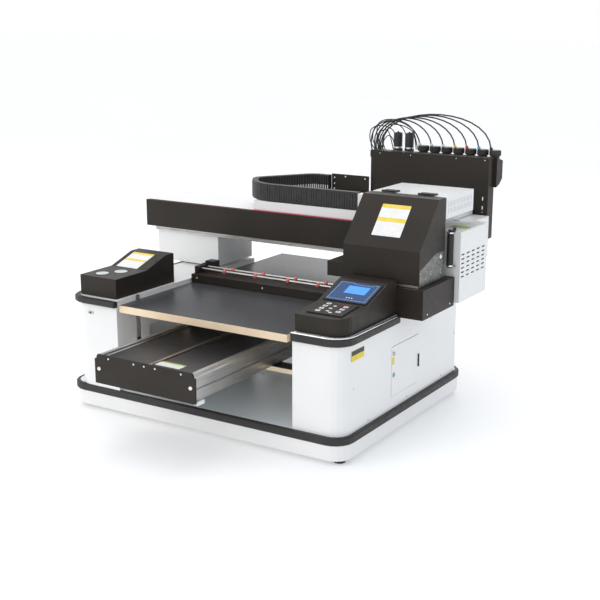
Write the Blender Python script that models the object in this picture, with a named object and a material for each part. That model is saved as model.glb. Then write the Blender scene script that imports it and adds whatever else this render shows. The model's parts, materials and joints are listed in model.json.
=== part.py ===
"""A flatbed UV printer: a moving bed between two cabinets, under a fixed gantry with a sliding head.

Metres, +Z up, +X to the operator's right, +Y to the back. Every length below is measured from the
front right bottom corner of the base plinth; ORIGIN then moves the whole machine, so that the world
origin lies on the floor under the middle of its footprint.
"""

import math

import bmesh
import bpy
from mathutils import Matrix, Vector

ORIGIN = Vector((0.62, -0.4395, 0.017))
GAP = 0.0003

# Base plinth, bumper band and feet
BASE_LEFT = -1.22
BASE_RIGHT = 0.0
BASE_DEPTH = 0.965
BASE_CORNER = 0.07
TRAY_FLOOR = 0.085
BUMPER_LOW = 0.056
BUMPER_HIGH = 0.085
BUMPER_PROUD = 0.005
BUMPER_SEAT = 0.010
FOOT_RADIUS = 0.021
FOOT_HEIGHT = 0.017
FOOT_INSET = (0.047, 0.060)

# Cabinets at both sides of the bed
SHEET = 0.003
LEFT_OUT = -1.18
LEFT_IN = -0.968
LEFT_DEPTH = 0.90
LEFT_TOP = 0.431
RIGHT_IN = -0.206
RIGHT_OUT = -0.010
RIGHT_FRONT = 0.012
RIGHT_BACK = 0.898
RIGHT_TOP = 0.427
CABINET_CORNER = 0.065
LEFT_TRIM = (0.022, 0.022)
LEFT_TRIM_END = LEFT_IN + 0.005
RIGHT_TRIM = (0.013, 0.028)

# Consoles on the cabinets
CONSOLE_FRONT = 0.021
LEFT_CONSOLE = (-1.160, -0.985)
LEFT_CONSOLE_BACK = 0.364
RIGHT_CONSOLE = (-0.2055, -0.0125)
RIGHT_CONSOLE_BACK = 0.3945
KEY_TRAVEL = 0.001
BUTTON_TRAVEL = 0.003

# Gantry
POST_FRONT = 0.660
POST_BACK = 0.905
POST_TOP = 0.690
LEFT_POST = (-1.30, -0.985)
RIGHT_POST = (-0.210, 0.105)
COVER_LEFT = -1.345
COVER_FRONT = 0.6385
COVER_LOW = 0.582
COVER_RIGHT = 0.045
RAIL_LOW = 0.5668
DECK_TOP = 0.733
DECK_LEFT = -0.80

# Cable chain, lying on its side on the deck
CHAIN_LOW = DECK_TOP + 0.0007
CHAIN_HIGH = 0.803
CHAIN_THICK = 0.026
CHAIN_TURN_START = -0.711
CHAIN_NEAR = 0.655
CHAIN_FAR = 1.035
CHAIN_BEND_RUNS = ((0.178, 60.0), (0.030, 0.0), (0.050, 63.6))
CHAIN_LAST_RADIUS = 0.050
CHAIN_END = -0.322

# Carriage
HOOD = (-0.242, 0.064)
HOOD_FRONT = 0.410
HOOD_BACK = 0.612
HOOD_LOW = 0.5365
HOOD_BREAK = 0.658
HOOD_SLOPE_END = 0.555
HOOD_TOP = 0.822
HOOD_SHEET = 0.002
HINGE_AXIS = (0.6165, 0.8265)
FRAME = (-0.2385, 0.0605)
FRAME_BACK = 0.621
PLATE = (0.5285, 0.5360)
REAR_COVER_BACK = 0.860
REAR_COVER_LOW = 0.742

# Capping station, parked under the carriage
STATION = (-0.200, 0.088)
STATION_FRONT = 0.3953
STATION_BACK = 0.6545
STATION_TOP = 0.5265
STATION_FLANGE = (-0.236, 0.0045)

# Ink rack
RACK = (-0.482, 0.040)
RACK_FRONT = 1.050
RACK_BACK = 1.105
RACK_LOW = 0.593
RACK_TOP = 0.915
SHELF_BACK = 1.155
SHELF = (-0.440, 0.052)
SHELF_LOW = 0.824
SHELF_TOP = 0.895
BOTTLE_PITCH = 0.052
BOTTLE_Y = 1.131
BOTTLE_TOP = 0.938
BOTTLE_SHIFT = 0.014
TUBE_RADIUS = 0.003

# Bed, its Y module and the lift
BED = (-0.958, -0.222)
BED_FRONT = 0.005
BED_BACK = 1.105
BED_LOW = 0.390
BED_TOP = 0.417
MODULE_MIDDLE = -0.613
MODULE_HALF = 0.213
MODULE_FRONT = -0.270
MODULE_BACK = 1.130
MODULE_LOW = 0.2253
MODULE_TOP = 0.322
CROSSBEAM = (-1.062, -0.125)
CROSSBEAM_YS = {"front": 0.192, "rear": 0.800}
CROSSBEAM_DEPTH = 0.065
CROSSBEAM_LOW = 0.208
GUIDE_XS = {"left": -1.040, "right": -0.148}
GUIDE_RADIUS = 0.008

# Rotary attachment on the bed
ROTARY = (-0.963, -0.280)
ROTARY_FRONT = 0.447
ROTARY_BACK = 0.580
ROTARY_TOP = 0.450
ROLLER_YS = {"front": 0.490, "rear": 0.530}
ROLLER_Z = 0.4665
ROLLER_RADIUS = 0.005
RING_RADIUS = 0.009
RING_XS = (-0.828, -0.680, -0.530, -0.394)
REAR_RING_SHIFT = 0.011
ROTARY_SEAT = 0.0005

# Side door in the right cabinet
DOOR_YS = (0.3585, 0.5662)
DOOR_ZS = (0.1315, 0.3165)
DOOR_PLAY = 0.0015
DOOR_HINGE = (-0.0088, 0.5672)
LOCK_YZ = (0.373, 0.290)
LOCK_RADIUS = 0.008

# colour, roughness, metallic
FINISHES = {
    "white_paint": ((0.86, 0.86, 0.85), 0.38, 0.0),
    "black_paint": ((0.028, 0.026, 0.024), 0.45, 0.0),
    "black_rubber": ((0.02, 0.02, 0.02), 0.7, 0.0),
    "aluminium": ((0.62, 0.63, 0.64), 0.32, 1.0),
    "steel": ((0.70, 0.70, 0.69), 0.22, 1.0),
    "bed_black": ((0.05, 0.055, 0.06), 0.35, 0.0),
    "display": ((0.03, 0.09, 0.19), 0.15, 0.0),
    "key_white": ((0.75, 0.75, 0.73), 0.4, 0.0),
    "button_grey": ((0.62, 0.68, 0.64), 0.35, 0.0),
    "red_rubber": ((0.55, 0.06, 0.06), 0.5, 0.0),
}


def clear_scene():
    for obj in list(bpy.data.objects):
        bpy.data.objects.remove(obj)


def make_finishes():
    for name, (colour, roughness, metallic) in FINISHES.items():
        material = bpy.data.materials.new(name)
        material.use_nodes = True
        shader = material.node_tree.nodes["Principled BSDF"]
        shader.inputs["Base Color"].default_value = (*colour, 1.0)
        shader.inputs["Roughness"].default_value = roughness
        shader.inputs["Metallic"].default_value = metallic


def place(name, mesh, pivot=(0.0, 0.0, 0.0)):
    """Makes an object of a bmesh built in plinth coordinates, with its origin at the pivot."""
    bmesh.ops.recalc_face_normals(mesh, faces=mesh.faces)
    bmesh.ops.translate(mesh, verts=mesh.verts, vec=-Vector(pivot))
    data = bpy.data.meshes.new(name)
    mesh.to_mesh(data)
    mesh.free()
    obj = bpy.data.objects.new(name, data)
    obj.location = ORIGIN + Vector(pivot)
    bpy.context.scene.collection.objects.link(obj)
    return obj


def part(name, mesh, finish, pivot=(0.0, 0.0, 0.0)):
    obj = place(name, mesh, pivot)
    obj.data.materials.append(bpy.data.materials[finish])
    obj.data.shade_smooth()
    obj.data.set_sharp_from_angle(angle=math.radians(35))
    return obj


def helper(mesh):
    """A hidden object that a Boolean joins to a part or takes away from it."""
    obj = place("helper", mesh)
    obj.hide_render = True
    obj.display_type = "WIRE"
    return obj


def combine(obj, operation, *meshes):
    for mesh in meshes:
        modifier = obj.modifiers.new(operation.title(), "BOOLEAN")
        modifier.operation = operation
        modifier.solver = "EXACT"
        modifier.object = helper(mesh)
    return obj


def cut(obj, *meshes):
    return combine(obj, "DIFFERENCE", *meshes)


def join(obj, *meshes):
    return combine(obj, "UNION", *meshes)


def prism(axis, outline, low, high):
    """A straight prism along an axis. The outline's points are in the other two axes, in order."""
    order = {"X": (2, 0, 1), "Y": (0, 2, 1), "Z": (0, 1, 2)}[axis]
    mesh = bmesh.new()
    corners = []
    for point in outline:
        values = (*point, low)
        corners.append(mesh.verts.new([values[i] for i in order]))
    face = mesh.faces.new(corners)
    reach = Vector([(0.0, 0.0, high - low)[i] for i in order])
    raised = bmesh.ops.extrude_face_region(mesh, geom=[face])["geom"]
    moved = [item for item in raised if isinstance(item, bmesh.types.BMVert)]
    bmesh.ops.translate(mesh, verts=moved, vec=reach)
    return mesh


def rectangle(x, y):
    return [(x[0], y[0]), (x[1], y[0]), (x[1], y[1]), (x[0], y[1])]


def box(x, y, z):
    return prism("Z", rectangle(x, y), *z)


def boxes(list_of_boxes):
    """One mesh that holds several boxes, each given as its x, y and z spans."""
    mesh = bmesh.new()
    for spans in list_of_boxes:
        size = Vector([high - low for low, high in spans])
        middle = Vector([(high + low) / 2 for low, high in spans])
        frame = Matrix.Translation(middle) @ Matrix.Diagonal((*size, 1.0))
        bmesh.ops.create_cube(mesh, size=1.0, matrix=frame)
    return mesh


def corner_arc(centre, radius, start, steps):
    """Points of a quarter turn from the start angle, in degrees."""
    turns = [math.radians(start + 90 * i / steps) for i in range(steps + 1)]
    return [(centre[0] + radius * math.cos(a), centre[1] + radius * math.sin(a)) for a in turns]


def rounded(x, y, radii, offset=0.0, steps=5):
    """A rectangle moved out by the offset. The radii are those of its corners from the front left."""
    corners = ((x[0], y[0], 180), (x[1], y[0], 270), (x[1], y[1], 0), (x[0], y[1], 90))
    points = []
    for (corner_x, corner_y, start), radius in zip(corners, radii):
        side_x = 1 if start in (180, 90) else -1
        side_y = 1 if start in (180, 270) else -1
        if radius == 0:
            points.append((corner_x - side_x * offset, corner_y - side_y * offset))
            continue
        centre = (corner_x + side_x * radius, corner_y + side_y * radius)
        points += corner_arc(centre, radius + offset, start, steps)
    return points


def loft(loops, closed_section=False):
    """Joins equal loops of points into one body, capped at both ends or closed into a ring."""
    mesh = bmesh.new()
    rings = [[mesh.verts.new(point) for point in loop] for loop in loops]
    pairs = list(zip(rings, rings[1:]))
    if closed_section:
        pairs.append((rings[-1], rings[0]))
    for lower, upper in pairs:
        count = len(lower)
        for i in range(count):
            j = (i + 1) % count
            mesh.faces.new((lower[i], lower[j], upper[j], upper[i]))
    if not closed_section:
        mesh.faces.new(rings[0])
        mesh.faces.new(rings[-1])
    return mesh


def turned(profile, centre, axis="Z", steps=20):
    """A solid of revolution. The profile's points are a radius and a height along the axis."""
    loops = []
    for radius, height in profile:
        loop = []
        for i in range(steps):
            angle = 2 * math.pi * i / steps
            across = (radius * math.cos(angle), radius * math.sin(angle))
            values = {
                "Z": (across[0], across[1], height),
                "X": (height, across[0], across[1]),
                "Y": (across[0], height, across[1]),
            }[axis]
            loop.append(Vector(centre) + Vector(values))
        loops.append(loop)
    return loft(loops)


def rod(radius, low, high, centre, axis="Z", steps=16):
    """A plain round bar. The centre's own value along the axis is left at zero."""
    return turned([(radius, low), (radius, high)], centre, axis, steps)


def band(outline_at, section):
    """A closed band round an outline. The section's points are an offset outwards and a height."""
    loops = [[(*point, z) for point in outline_at(offset)] for offset, z in section]
    return loft(loops, closed_section=True)


def strip(path_at, section):
    """An open band along a path, closed at both ends."""
    columns = [path_at(offset) for offset, _ in section]
    loops = []
    for i in range(len(columns[0])):
        loops.append([(*column[i], z) for column, (_, z) in zip(columns, section)])
    return loft(loops)


def bumper_section(inner, proud, low, high):
    soft = 0.004
    return [
        (inner, low),
        (proud - soft, low),
        (proud, low + soft),
        (proud, high - soft),
        (proud - soft, high),
        (inner, high),
    ]


# Base


def base_outline(offset):
    radii = (BASE_CORNER,) * 4
    return rounded((BASE_LEFT, BASE_RIGHT), (0.0, BASE_DEPTH), radii, offset)


def make_base():
    levels = (
        (-0.004, 0.0),
        (0.0, 0.004),
        (0.0, BUMPER_LOW),
        (-BUMPER_SEAT - GAP, BUMPER_LOW),
        (-BUMPER_SEAT - GAP, TRAY_FLOOR),
    )
    loops = [[(*point, z) for point in base_outline(offset)] for offset, z in levels]
    part("base_tray", loft(loops), "white_paint")
    section = bumper_section(-BUMPER_SEAT, BUMPER_PROUD, BUMPER_LOW + GAP, BUMPER_HIGH)
    part("base_bumper", band(base_outline, section), "black_rubber")


def make_feet():
    profile = (
        (FOOT_RADIUS, -FOOT_HEIGHT),
        (FOOT_RADIUS, -0.008),
        (0.012, -0.006),
        (0.012, -GAP),
    )
    inset_x, inset_y = FOOT_INSET
    for side, x in (("left", BASE_LEFT + inset_x), ("right", BASE_RIGHT - inset_x)):
        for end, y in (("front", inset_y), ("rear", BASE_DEPTH - inset_y)):
            part(f"foot_{end}_{side}", turned(profile, (x, y, 0.0)), "black_rubber")


# Cabinets


def left_outline(offset=0.0):
    radii = (CABINET_CORNER, 0, 0, 0)
    return rounded((LEFT_OUT, LEFT_IN), (0.0, LEFT_DEPTH), radii, offset)


def right_outline(offset=0.0):
    radii = (0, CABINET_CORNER, 0, 0)
    return rounded((RIGHT_IN, RIGHT_OUT), (RIGHT_FRONT, RIGHT_BACK), radii, offset)


def cabinet(name, outline_at, top, openings):
    """A sheet metal shell without a floor, with openings for the lift and for a door."""
    floor = TRAY_FLOOR + GAP
    shell = part(name, prism("Z", outline_at(), floor, top), "white_paint")
    hollow = prism("Z", outline_at(-SHEET), floor - 0.01, top - SHEET)
    return cut(shell, hollow, boxes(openings))


def make_cabinets():
    lift_ys = (0.182, 0.875)
    lift_zs = (0.105, 0.30)
    slot = ((LEFT_IN - 0.01, LEFT_IN + 0.01), (0.110, 0.136), (0.12, LEFT_TOP + 0.01))
    left_window = ((LEFT_IN - 0.01, LEFT_IN + 0.01), lift_ys, lift_zs)
    cabinet("left_cabinet", left_outline, LEFT_TOP, (slot, left_window))
    right_window = ((RIGHT_IN - 0.01, RIGHT_IN + 0.01), (0.182, 0.868), lift_zs)
    door_ys = (DOOR_YS[0] - DOOR_PLAY, DOOR_YS[1] + 0.0018)
    door_zs = (DOOR_ZS[0] - DOOR_PLAY, DOOR_ZS[1] + DOOR_PLAY)
    door_way = ((RIGHT_OUT - 0.01, RIGHT_OUT + 0.01), door_ys, door_zs)
    cabinet("right_cabinet", right_outline, RIGHT_TOP, (right_window, door_way))


def left_trim_path(offset):
    """Along the front from the bed's side, round the corner and along the outer side."""
    arc = corner_arc(
        (LEFT_OUT + CABINET_CORNER, CABINET_CORNER), CABINET_CORNER + offset, 180, 5
    )
    return [(LEFT_TRIM_END, -offset), *reversed(arc), (LEFT_OUT - offset, LEFT_DEPTH)]


def right_trim_path(offset):
    centre = (RIGHT_OUT - CABINET_CORNER, RIGHT_FRONT + CABINET_CORNER)
    arc = corner_arc(centre, CABINET_CORNER + offset, 270, 5)
    end = (RIGHT_OUT + offset, STATION_FRONT - 0.0008)
    return [(RIGHT_IN, RIGHT_FRONT - offset), *arc, end]


def make_trims():
    for name, path_at, top, (proud, height) in (
        ("left_cabinet_trim", left_trim_path, LEFT_TOP, LEFT_TRIM),
        ("right_cabinet_trim", right_trim_path, RIGHT_TOP, RIGHT_TRIM),
    ):
        section = bumper_section(GAP, proud, top - height, top)
        part(name, strip(path_at, section), "black_rubber")


# Consoles


BUTTON_XYS = {"front": (-1.098, 0.075), "rear": (-1.058, 0.135)}
BUTTON_RADIUS = 0.025
LEFT_PLATE_Z = 0.507
BUTTON_POCKET = 0.006


def make_left_console():
    low = LEFT_TOP + GAP
    outline = [
        (CONSOLE_FRONT, low),
        (CONSOLE_FRONT, LEFT_PLATE_Z),
        (0.197, LEFT_PLATE_Z + 0.001),
        (0.313, 0.546),
        (0.320, 0.547),
        (LEFT_CONSOLE_BACK, 0.547),
        (LEFT_CONSOLE_BACK, low),
    ]
    console = part("left_console", prism("X", outline, *LEFT_CONSOLE), "black_paint")
    for end, (x, y) in BUTTON_XYS.items():
        floor = LEFT_PLATE_Z - BUTTON_POCKET
        pocket = rod(BUTTON_RADIUS + 0.0006, floor, LEFT_PLATE_Z + 0.01, (x, y, 0.0), steps=24)
        cut(console, pocket)
        head = LEFT_PLATE_Z + 0.002
        profile = (
            (BUTTON_RADIUS, floor + BUTTON_TRAVEL + 0.0005),
            (BUTTON_RADIUS, head - 0.001),
            (BUTTON_RADIUS - 0.001, head),
        )
        disc = turned(profile, (x, y, 0.0), steps=24)
        part(f"console_button_{end}", disc, "button_grey", (x, y, head))


# The right console's top: a keypad plane and a steeper display plane
KEYPAD_START = Vector((CONSOLE_FRONT, 0.490))
KEYPAD_END = Vector((0.178, 0.504))
DISPLAY_END = Vector((0.315, 0.550))
PANEL_MIDDLE = -0.106
DISPLAY_SIZE = (0.160, 0.122, 0.003)
KEYPAD_SIZE = (0.134, 0.118, 0.004)
KEY_SIZE = (0.017, 0.013)
KEY_COLUMNS = {-0.036: (-0.038, -0.013, 0.012, 0.037), 0.036: (-0.026, 0.0, 0.026)}


def make_right_console():
    low = RIGHT_TOP + 0.0045
    outline = [
        (CONSOLE_FRONT, low),
        tuple(KEYPAD_START),
        tuple(KEYPAD_END),
        tuple(DISPLAY_END),
        (0.328, 0.553),
        (RIGHT_CONSOLE_BACK, 0.553),
        (RIGHT_CONSOLE_BACK, low),
    ]
    console = part("right_console", prism("X", outline, *RIGHT_CONSOLE), "black_paint")
    spans = (CONSOLE_FRONT, RIGHT_CONSOLE_BACK)
    footprint = rounded(RIGHT_CONSOLE, spans, (0.010, 0.055, 0, 0))
    combine(console, "INTERSECT", prism("Z", footprint, 0.3, 0.7))


def on_slope(start, end, share):
    """Where a panel lies on a sloping top: its middle and its tilt about X."""
    along = end - start
    middle = start + along * share
    return middle, math.atan2(along.y, along.x)


def tilted_box(middle, tilt, size, lift):
    """A box centred over the middle of a slope, raised off it by the lift."""
    mesh = bmesh.new()
    raise_by = Matrix.Translation((0.0, 0.0, lift + size[2] / 2))
    turn = Matrix.Rotation(tilt, 4, "X")
    seat = Matrix.Translation((PANEL_MIDDLE, middle.x, middle.y))
    scale = Matrix.Diagonal((*size, 1.0))
    bmesh.ops.create_cube(mesh, size=1.0, matrix=seat @ turn @ raise_by @ scale)
    return mesh


def key_frame(middle, tilt, across, along):
    """The middle of a key on the keypad plane."""
    x = PANEL_MIDDLE + across
    y = middle.x + along * math.cos(tilt)
    z = middle.y + along * math.sin(tilt)
    return Matrix.Translation((x, y, z)) @ Matrix.Rotation(tilt, 4, "X")


def make_panels():
    middle, tilt = on_slope(KEYPAD_END, DISPLAY_END, 0.50)
    part("display_panel", tilted_box(middle, tilt, DISPLAY_SIZE, GAP), "display")
    middle, tilt = on_slope(KEYPAD_START, KEYPAD_END, 0.56)
    plate = part("keypad_plate", tilted_box(middle, tilt, KEYPAD_SIZE, GAP), "black_paint")
    pockets = bmesh.new()
    keys = []
    for across, rows in KEY_COLUMNS.items():
        for along in rows:
            frame = key_frame(middle, tilt, across, along)
            hole = Matrix.Diagonal((KEY_SIZE[0] + 0.001, KEY_SIZE[1] + 0.001, 0.02, 1.0))
            bmesh.ops.create_cube(pockets, size=1.0, matrix=frame @ hole)
            keys.append(frame)
    cut(plate, pockets)
    low = GAP + KEY_TRAVEL + 0.0005
    high = GAP + KEYPAD_SIZE[2] + KEY_TRAVEL + 0.0002
    for number, frame in enumerate(keys, 1):
        mesh = bmesh.new()
        size = Matrix.Diagonal((*KEY_SIZE, high - low, 1.0))
        centre = Matrix.Translation((0.0, 0.0, (low + high) / 2))
        bmesh.ops.create_cube(mesh, size=1.0, matrix=frame @ centre @ size)
        part(f"key_{number}", mesh, "key_white", frame.translation)


# Side door


def make_door():
    outer = DOOR_HINGE[0]
    xs = (outer - SHEET - 0.0004, outer - 0.0004)
    pivot = (*DOOR_HINGE, 0.0)
    door = part("side_door", box(xs, DOOR_YS, DOOR_ZS), "white_paint", pivot)
    y, z = LOCK_YZ
    cut(door, rod(LOCK_RADIUS + 0.0005, outer - 0.02, outer + 0.02, (0.0, y, z), "X"))
    profile = (
        (LOCK_RADIUS, outer - 0.012),
        (LOCK_RADIUS, outer + 0.002),
        (LOCK_RADIUS - 0.0015, outer + 0.0035),
    )
    part("door_lock", turned(profile, (0.0, y, z), "X", 16), "steel", (outer, y, z))


# Capping station


CAP_BAY = ((-0.172, 0.002), (0.440, 0.610), (0.450, 0.54))


def make_station():
    flange_left, flange_thick = STATION_FLANGE
    outline = [
        (STATION[0], RIGHT_TOP + 0.0006),
        (RIGHT_OUT + 0.0006, RIGHT_TOP + 0.0006),
        (RIGHT_OUT + 0.0006, 0.419),
        (STATION[1], 0.419),
        (STATION[1], STATION_TOP),
        (flange_left, STATION_TOP),
        (flange_left, STATION_TOP - flange_thick),
        (STATION[0], STATION_TOP - flange_thick),
    ]
    housing = prism("Y", outline, STATION_FRONT, STATION_BACK)
    station = part("station_housing", housing, "black_paint")
    cut(station, boxes([CAP_BAY]))


def make_capping_unit():
    xs = (-0.166, -0.004)
    ys = (0.446, 0.604)
    pivot = (-0.085, 0.525, 0.500)
    unit = part("capping_unit", box(xs, ys, (0.468, 0.515)), "black_rubber", pivot)
    caps = []
    for x in (-0.118, -0.052):
        caps.append(((x - 0.018, x + 0.018), (0.475, 0.585), (0.512, 0.5255)))
    join(unit, boxes(caps))
    wells = []
    for (low_x, high_x), (low_y, high_y), _ in caps:
        wells.append(((low_x + 0.004, high_x - 0.004), (low_y + 0.004, high_y - 0.004), (0.519, 0.54)))
    cut(unit, boxes(wells))


# Gantry


def hollow_post(name, xs, low, extra_cuts=()):
    ys = (POST_FRONT, POST_BACK)
    post = part(name, box(xs, ys, (low, POST_TOP)), "white_paint")
    inside = (
        (xs[0] + SHEET, xs[1] - SHEET),
        (POST_FRONT + SHEET, POST_BACK + 0.01),
        (low + SHEET, POST_TOP - SHEET),
    )
    cut(post, boxes([inside]))
    if extra_cuts:
        cut(post, boxes(extra_cuts))
    return post


def make_posts():
    hollow_post("left_post", LEFT_POST, LEFT_TOP + 0.007)
    vents = []
    for column in range(5):
        for row in range(6):
            y = 0.672 + 0.046 * column
            z = 0.521 + 0.0165 * row
            span = (RIGHT_POST[1] - 0.01, RIGHT_POST[1] + 0.01)
            vents.append((span, (y, y + 0.027), (z, z + 0.0055)))
    hollow_post("right_post", RIGHT_POST, RIGHT_TOP + 0.0006, vents)


def make_beam():
    xs = (LEFT_POST[1] + GAP, RIGHT_POST[0] - GAP)
    beam = part("beam", box(xs, (0.6543, 0.90), (COVER_LOW, POST_TOP)), "aluminium")
    cut(beam, boxes([((-1.4, 0.2), (0.668, 0.88), (0.595, 0.677))]))
    join(beam, box((-1.34, COVER_RIGHT), (0.6425, 0.6545), (COVER_LOW, POST_TOP)))
    lip = [
        (COVER_FRONT, COVER_LOW),
        (COVER_FRONT + SHEET, COVER_LOW),
        (COVER_FRONT + SHEET, POST_TOP + 0.0006),
        (0.6545, POST_TOP + 0.0006),
        (0.6545, POST_TOP + 0.003),
        (COVER_FRONT, POST_TOP + 0.003),
    ]
    part("beam_cover", prism("X", lip, COVER_LEFT, COVER_RIGHT), "black_paint")
    rail = [
        (0.643, RAIL_LOW),
        (0.657, RAIL_LOW),
        (0.657, 0.572),
        (0.6545, 0.574),
        (0.6545, 0.5765),
        (0.657, 0.5785),
        (0.657, COVER_LOW - GAP),
        (0.643, COVER_LOW - GAP),
        (0.643, 0.5785),
        (0.6455, 0.5765),
        (0.6455, 0.574),
        (0.643, 0.572),
    ]
    part("x_rail", prism("X", rail, -1.30, 0.040), "steel")


def make_deck():
    low = POST_TOP + 0.0004
    sheet_top = low + 0.0024
    deck = part("top_deck", box((-1.335, 0.105), (0.6552, POST_BACK), (low, sheet_top)), "white_paint")
    join(deck, box((DECK_LEFT, -0.02), (0.6556, 1.0455), (sheet_top - 0.0012, DECK_TOP)))
    housing = box((-1.0, 0.05), (POST_BACK + 0.0005, 1.045), (0.530, POST_TOP))
    part("rear_housing", housing, "white_paint")


# Cable chain


def chain_spans(outer, inner):
    return (outer, inner), (CHAIN_LOW, CHAIN_HIGH)


def advance(line, length, turn):
    """Carries a line of (point, heading) on, turning clockwise by some degrees."""
    steps = max(1, round(abs(turn) / 10))
    step = math.radians(turn) / steps
    for _ in range(steps):
        point, heading = line[-1]
        chord = length / steps
        if step:
            chord *= math.sin(step / 2) / (step / 2)
        middle = heading - step / 2
        point = point + chord * Vector((math.cos(middle), math.sin(middle)))
        line.append((point, heading - step))


def chain_line():
    """The chain's middle in plan: round at the left, slanting back, then along the bracket."""
    line = [(Vector((CHAIN_TURN_START, CHAIN_NEAR + CHAIN_THICK / 2)), math.pi)]
    for length, turn in CHAIN_BEND_RUNS:
        advance(line, length, turn)
    slant = line[-1][1]
    rise = CHAIN_LAST_RADIUS * (1 - math.cos(slant))
    short = CHAIN_FAR - CHAIN_THICK / 2 - rise - line[-1][0].y
    advance(line, short / math.sin(slant), 0.0)
    advance(line, CHAIN_LAST_RADIUS * slant, math.degrees(slant))
    return line


def chain_section(point, heading):
    """The corners of the chain's section, across its heading."""
    side = Vector((-math.sin(heading), math.cos(heading))) * (CHAIN_THICK / 2)
    outer, inner = point + side, point - side
    return [(*outer, CHAIN_LOW), (*inner, CHAIN_LOW), (*inner, CHAIN_HIGH), (*outer, CHAIN_HIGH)]


def make_chain():
    near, far = CHAIN_NEAR, CHAIN_FAR
    ys, zs = chain_spans(near, near + CHAIN_THICK)
    run = box((CHAIN_TURN_START + GAP, CHAIN_END), ys, zs)
    part("chain_moving_run", run, "black_paint", (CHAIN_END, near, CHAIN_LOW))
    loops = [chain_section(point, heading) for point, heading in chain_line()]
    part("chain_bend", loft(loops), "black_paint", (CHAIN_TURN_START, near, CHAIN_LOW))
    start = chain_line()[-1][0].x
    ys, zs = chain_spans(far - CHAIN_THICK, far)
    bracket_start = -0.66
    part("chain_fixed_run", box((start + GAP, bracket_start - GAP), ys, zs), "black_paint")
    back = far + 0.004
    upright = [(far, CHAIN_LOW), (back, CHAIN_LOW), (back, 0.807), (far, 0.807)]
    bracket_end = RACK[0] - 0.0008
    bracket = part("chain_fixed_bracket", prism("X", upright, bracket_start, bracket_end), "black_paint")
    join(bracket, box((bracket_start, bracket_end), (0.990, far + 0.002), (CHAIN_LOW, CHAIN_LOW + SHEET)))


# Carriage


def make_carriage_frame():
    plate_top = PLATE[1]
    front = HOOD_FRONT + 0.003
    frame = part("carriage_frame", box(FRAME, (HOOD_FRONT, FRAME_BACK), PLATE), "steel")
    side = [
        (front, plate_top - 0.001),
        (front, 0.592),
        (0.54, 0.636),
        (FRAME_BACK, 0.636),
        (FRAME_BACK, plate_top - 0.001),
    ]
    join(
        frame,
        prism("X", side, FRAME[0], FRAME[0] + SHEET),
        prism("X", side, FRAME[1] - SHEET, FRAME[1]),
        box(FRAME, (FRAME_BACK - 0.004, FRAME_BACK), (plate_top - 0.001, 0.80)),
        box((-0.20, 0.03), (FRAME_BACK - 0.002, 0.659), PLATE),
        box((-0.20, 0.03), (0.641, 0.659), (plate_top - 0.001, RAIL_LOW - 0.0006)),
    )
    cut(frame, boxes([HEAD_WINDOW]))


HEAD_WINDOW = ((-0.152, -0.018), (0.457, 0.603), (0.52, 0.56))


def make_print_heads():
    heads = part("print_head_unit", box((-0.170, 0.0), (0.440, 0.610), (PLATE[1] + GAP, 0.60)), "aluminium")
    nozzles = []
    for x in (-0.118, -0.052):
        nozzles.append(((x - 0.022, x + 0.022), (0.465, 0.595), (0.5295, 0.550)))
    join(heads, boxes(nozzles))


def hood_outline(inset):
    """The hood's side view, thinner by the inset at the front, the slope and the top."""
    slope = Vector((HOOD_SLOPE_END - HOOD_FRONT, HOOD_TOP - HOOD_BREAK)).normalized()
    shift = inset * (1 - slope.x) / slope.y
    drop = inset * (1 - slope.y) / slope.x
    low = HOOD_LOW - (0.05 if inset else 0.0)
    back = HOOD_BACK + (0.05 if inset else 0.0)
    return [
        (HOOD_FRONT + inset, low),
        (HOOD_FRONT + inset, HOOD_BREAK - drop),
        (HOOD_SLOPE_END + shift, HOOD_TOP - inset),
        (back, HOOD_TOP - inset),
        (back, low),
    ]


def make_hood():
    pivot = (HOOD[0], *HINGE_AXIS)
    hood = part("carriage_hood", prism("X", hood_outline(0.0), *HOOD), "black_paint", pivot)
    inside = (HOOD[0] + HOOD_SHEET, HOOD[1] - HOOD_SHEET)
    cut(hood, prism("X", hood_outline(HOOD_SHEET), *inside))
    skirt = [
        (HOOD_FRONT + HOOD_SHEET + 0.0005, 0.48),
        (HOOD_FRONT + HOOD_SHEET + 0.0005, 0.589),
        (0.540, 0.630),
        (0.680, 0.630),
        (0.680, 0.48),
    ]
    cut(hood, prism("X", skirt, HOOD[0] - 0.05, HOOD[1] + 0.05))


def make_rear_cover():
    xs = (FRAME[0] - 0.001, FRAME[1] + 0.001)
    ys = (FRAME_BACK + 0.0005, REAR_COVER_BACK)
    cover = part("carriage_rear_cover", box(xs, ys, (REAR_COVER_LOW, HOOD_TOP)), "white_paint")
    inside = (
        (xs[0] + HOOD_SHEET, xs[1] - HOOD_SHEET),
        (ys[0] + HOOD_SHEET, ys[1] - HOOD_SHEET),
        (REAR_COVER_LOW - 0.01, HOOD_TOP - HOOD_SHEET),
    )
    cut(cover, boxes([inside]))
    near = CHAIN_NEAR
    join(cover, box((CHAIN_END + GAP, xs[0] + 0.001), (near, near + CHAIN_THICK), (0.745, 0.799)))


def make_hinges():
    y, z = HINGE_AXIS
    low = HOOD_TOP + GAP
    for side, xs in (("left", (-0.198, -0.142)), ("right", (-0.050, 0.012))):
        knuckle = rod(0.0037, xs[0], xs[1], (0.0, y, z), "X", 12)
        hinge = part(f"hood_hinge_{side}", knuckle, "black_paint")
        join(hinge, box(xs, (0.6225, 0.654), (low, 0.8275)), box(xs, (y, 0.624), (low + 0.001, 0.8265)))


def make_uv_lamp():
    lamp = box((-0.3085, HOOD[0] - 0.0008), (0.411, 0.620), (0.533, 0.587))
    part("uv_lamp", lamp, "black_paint")


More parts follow.
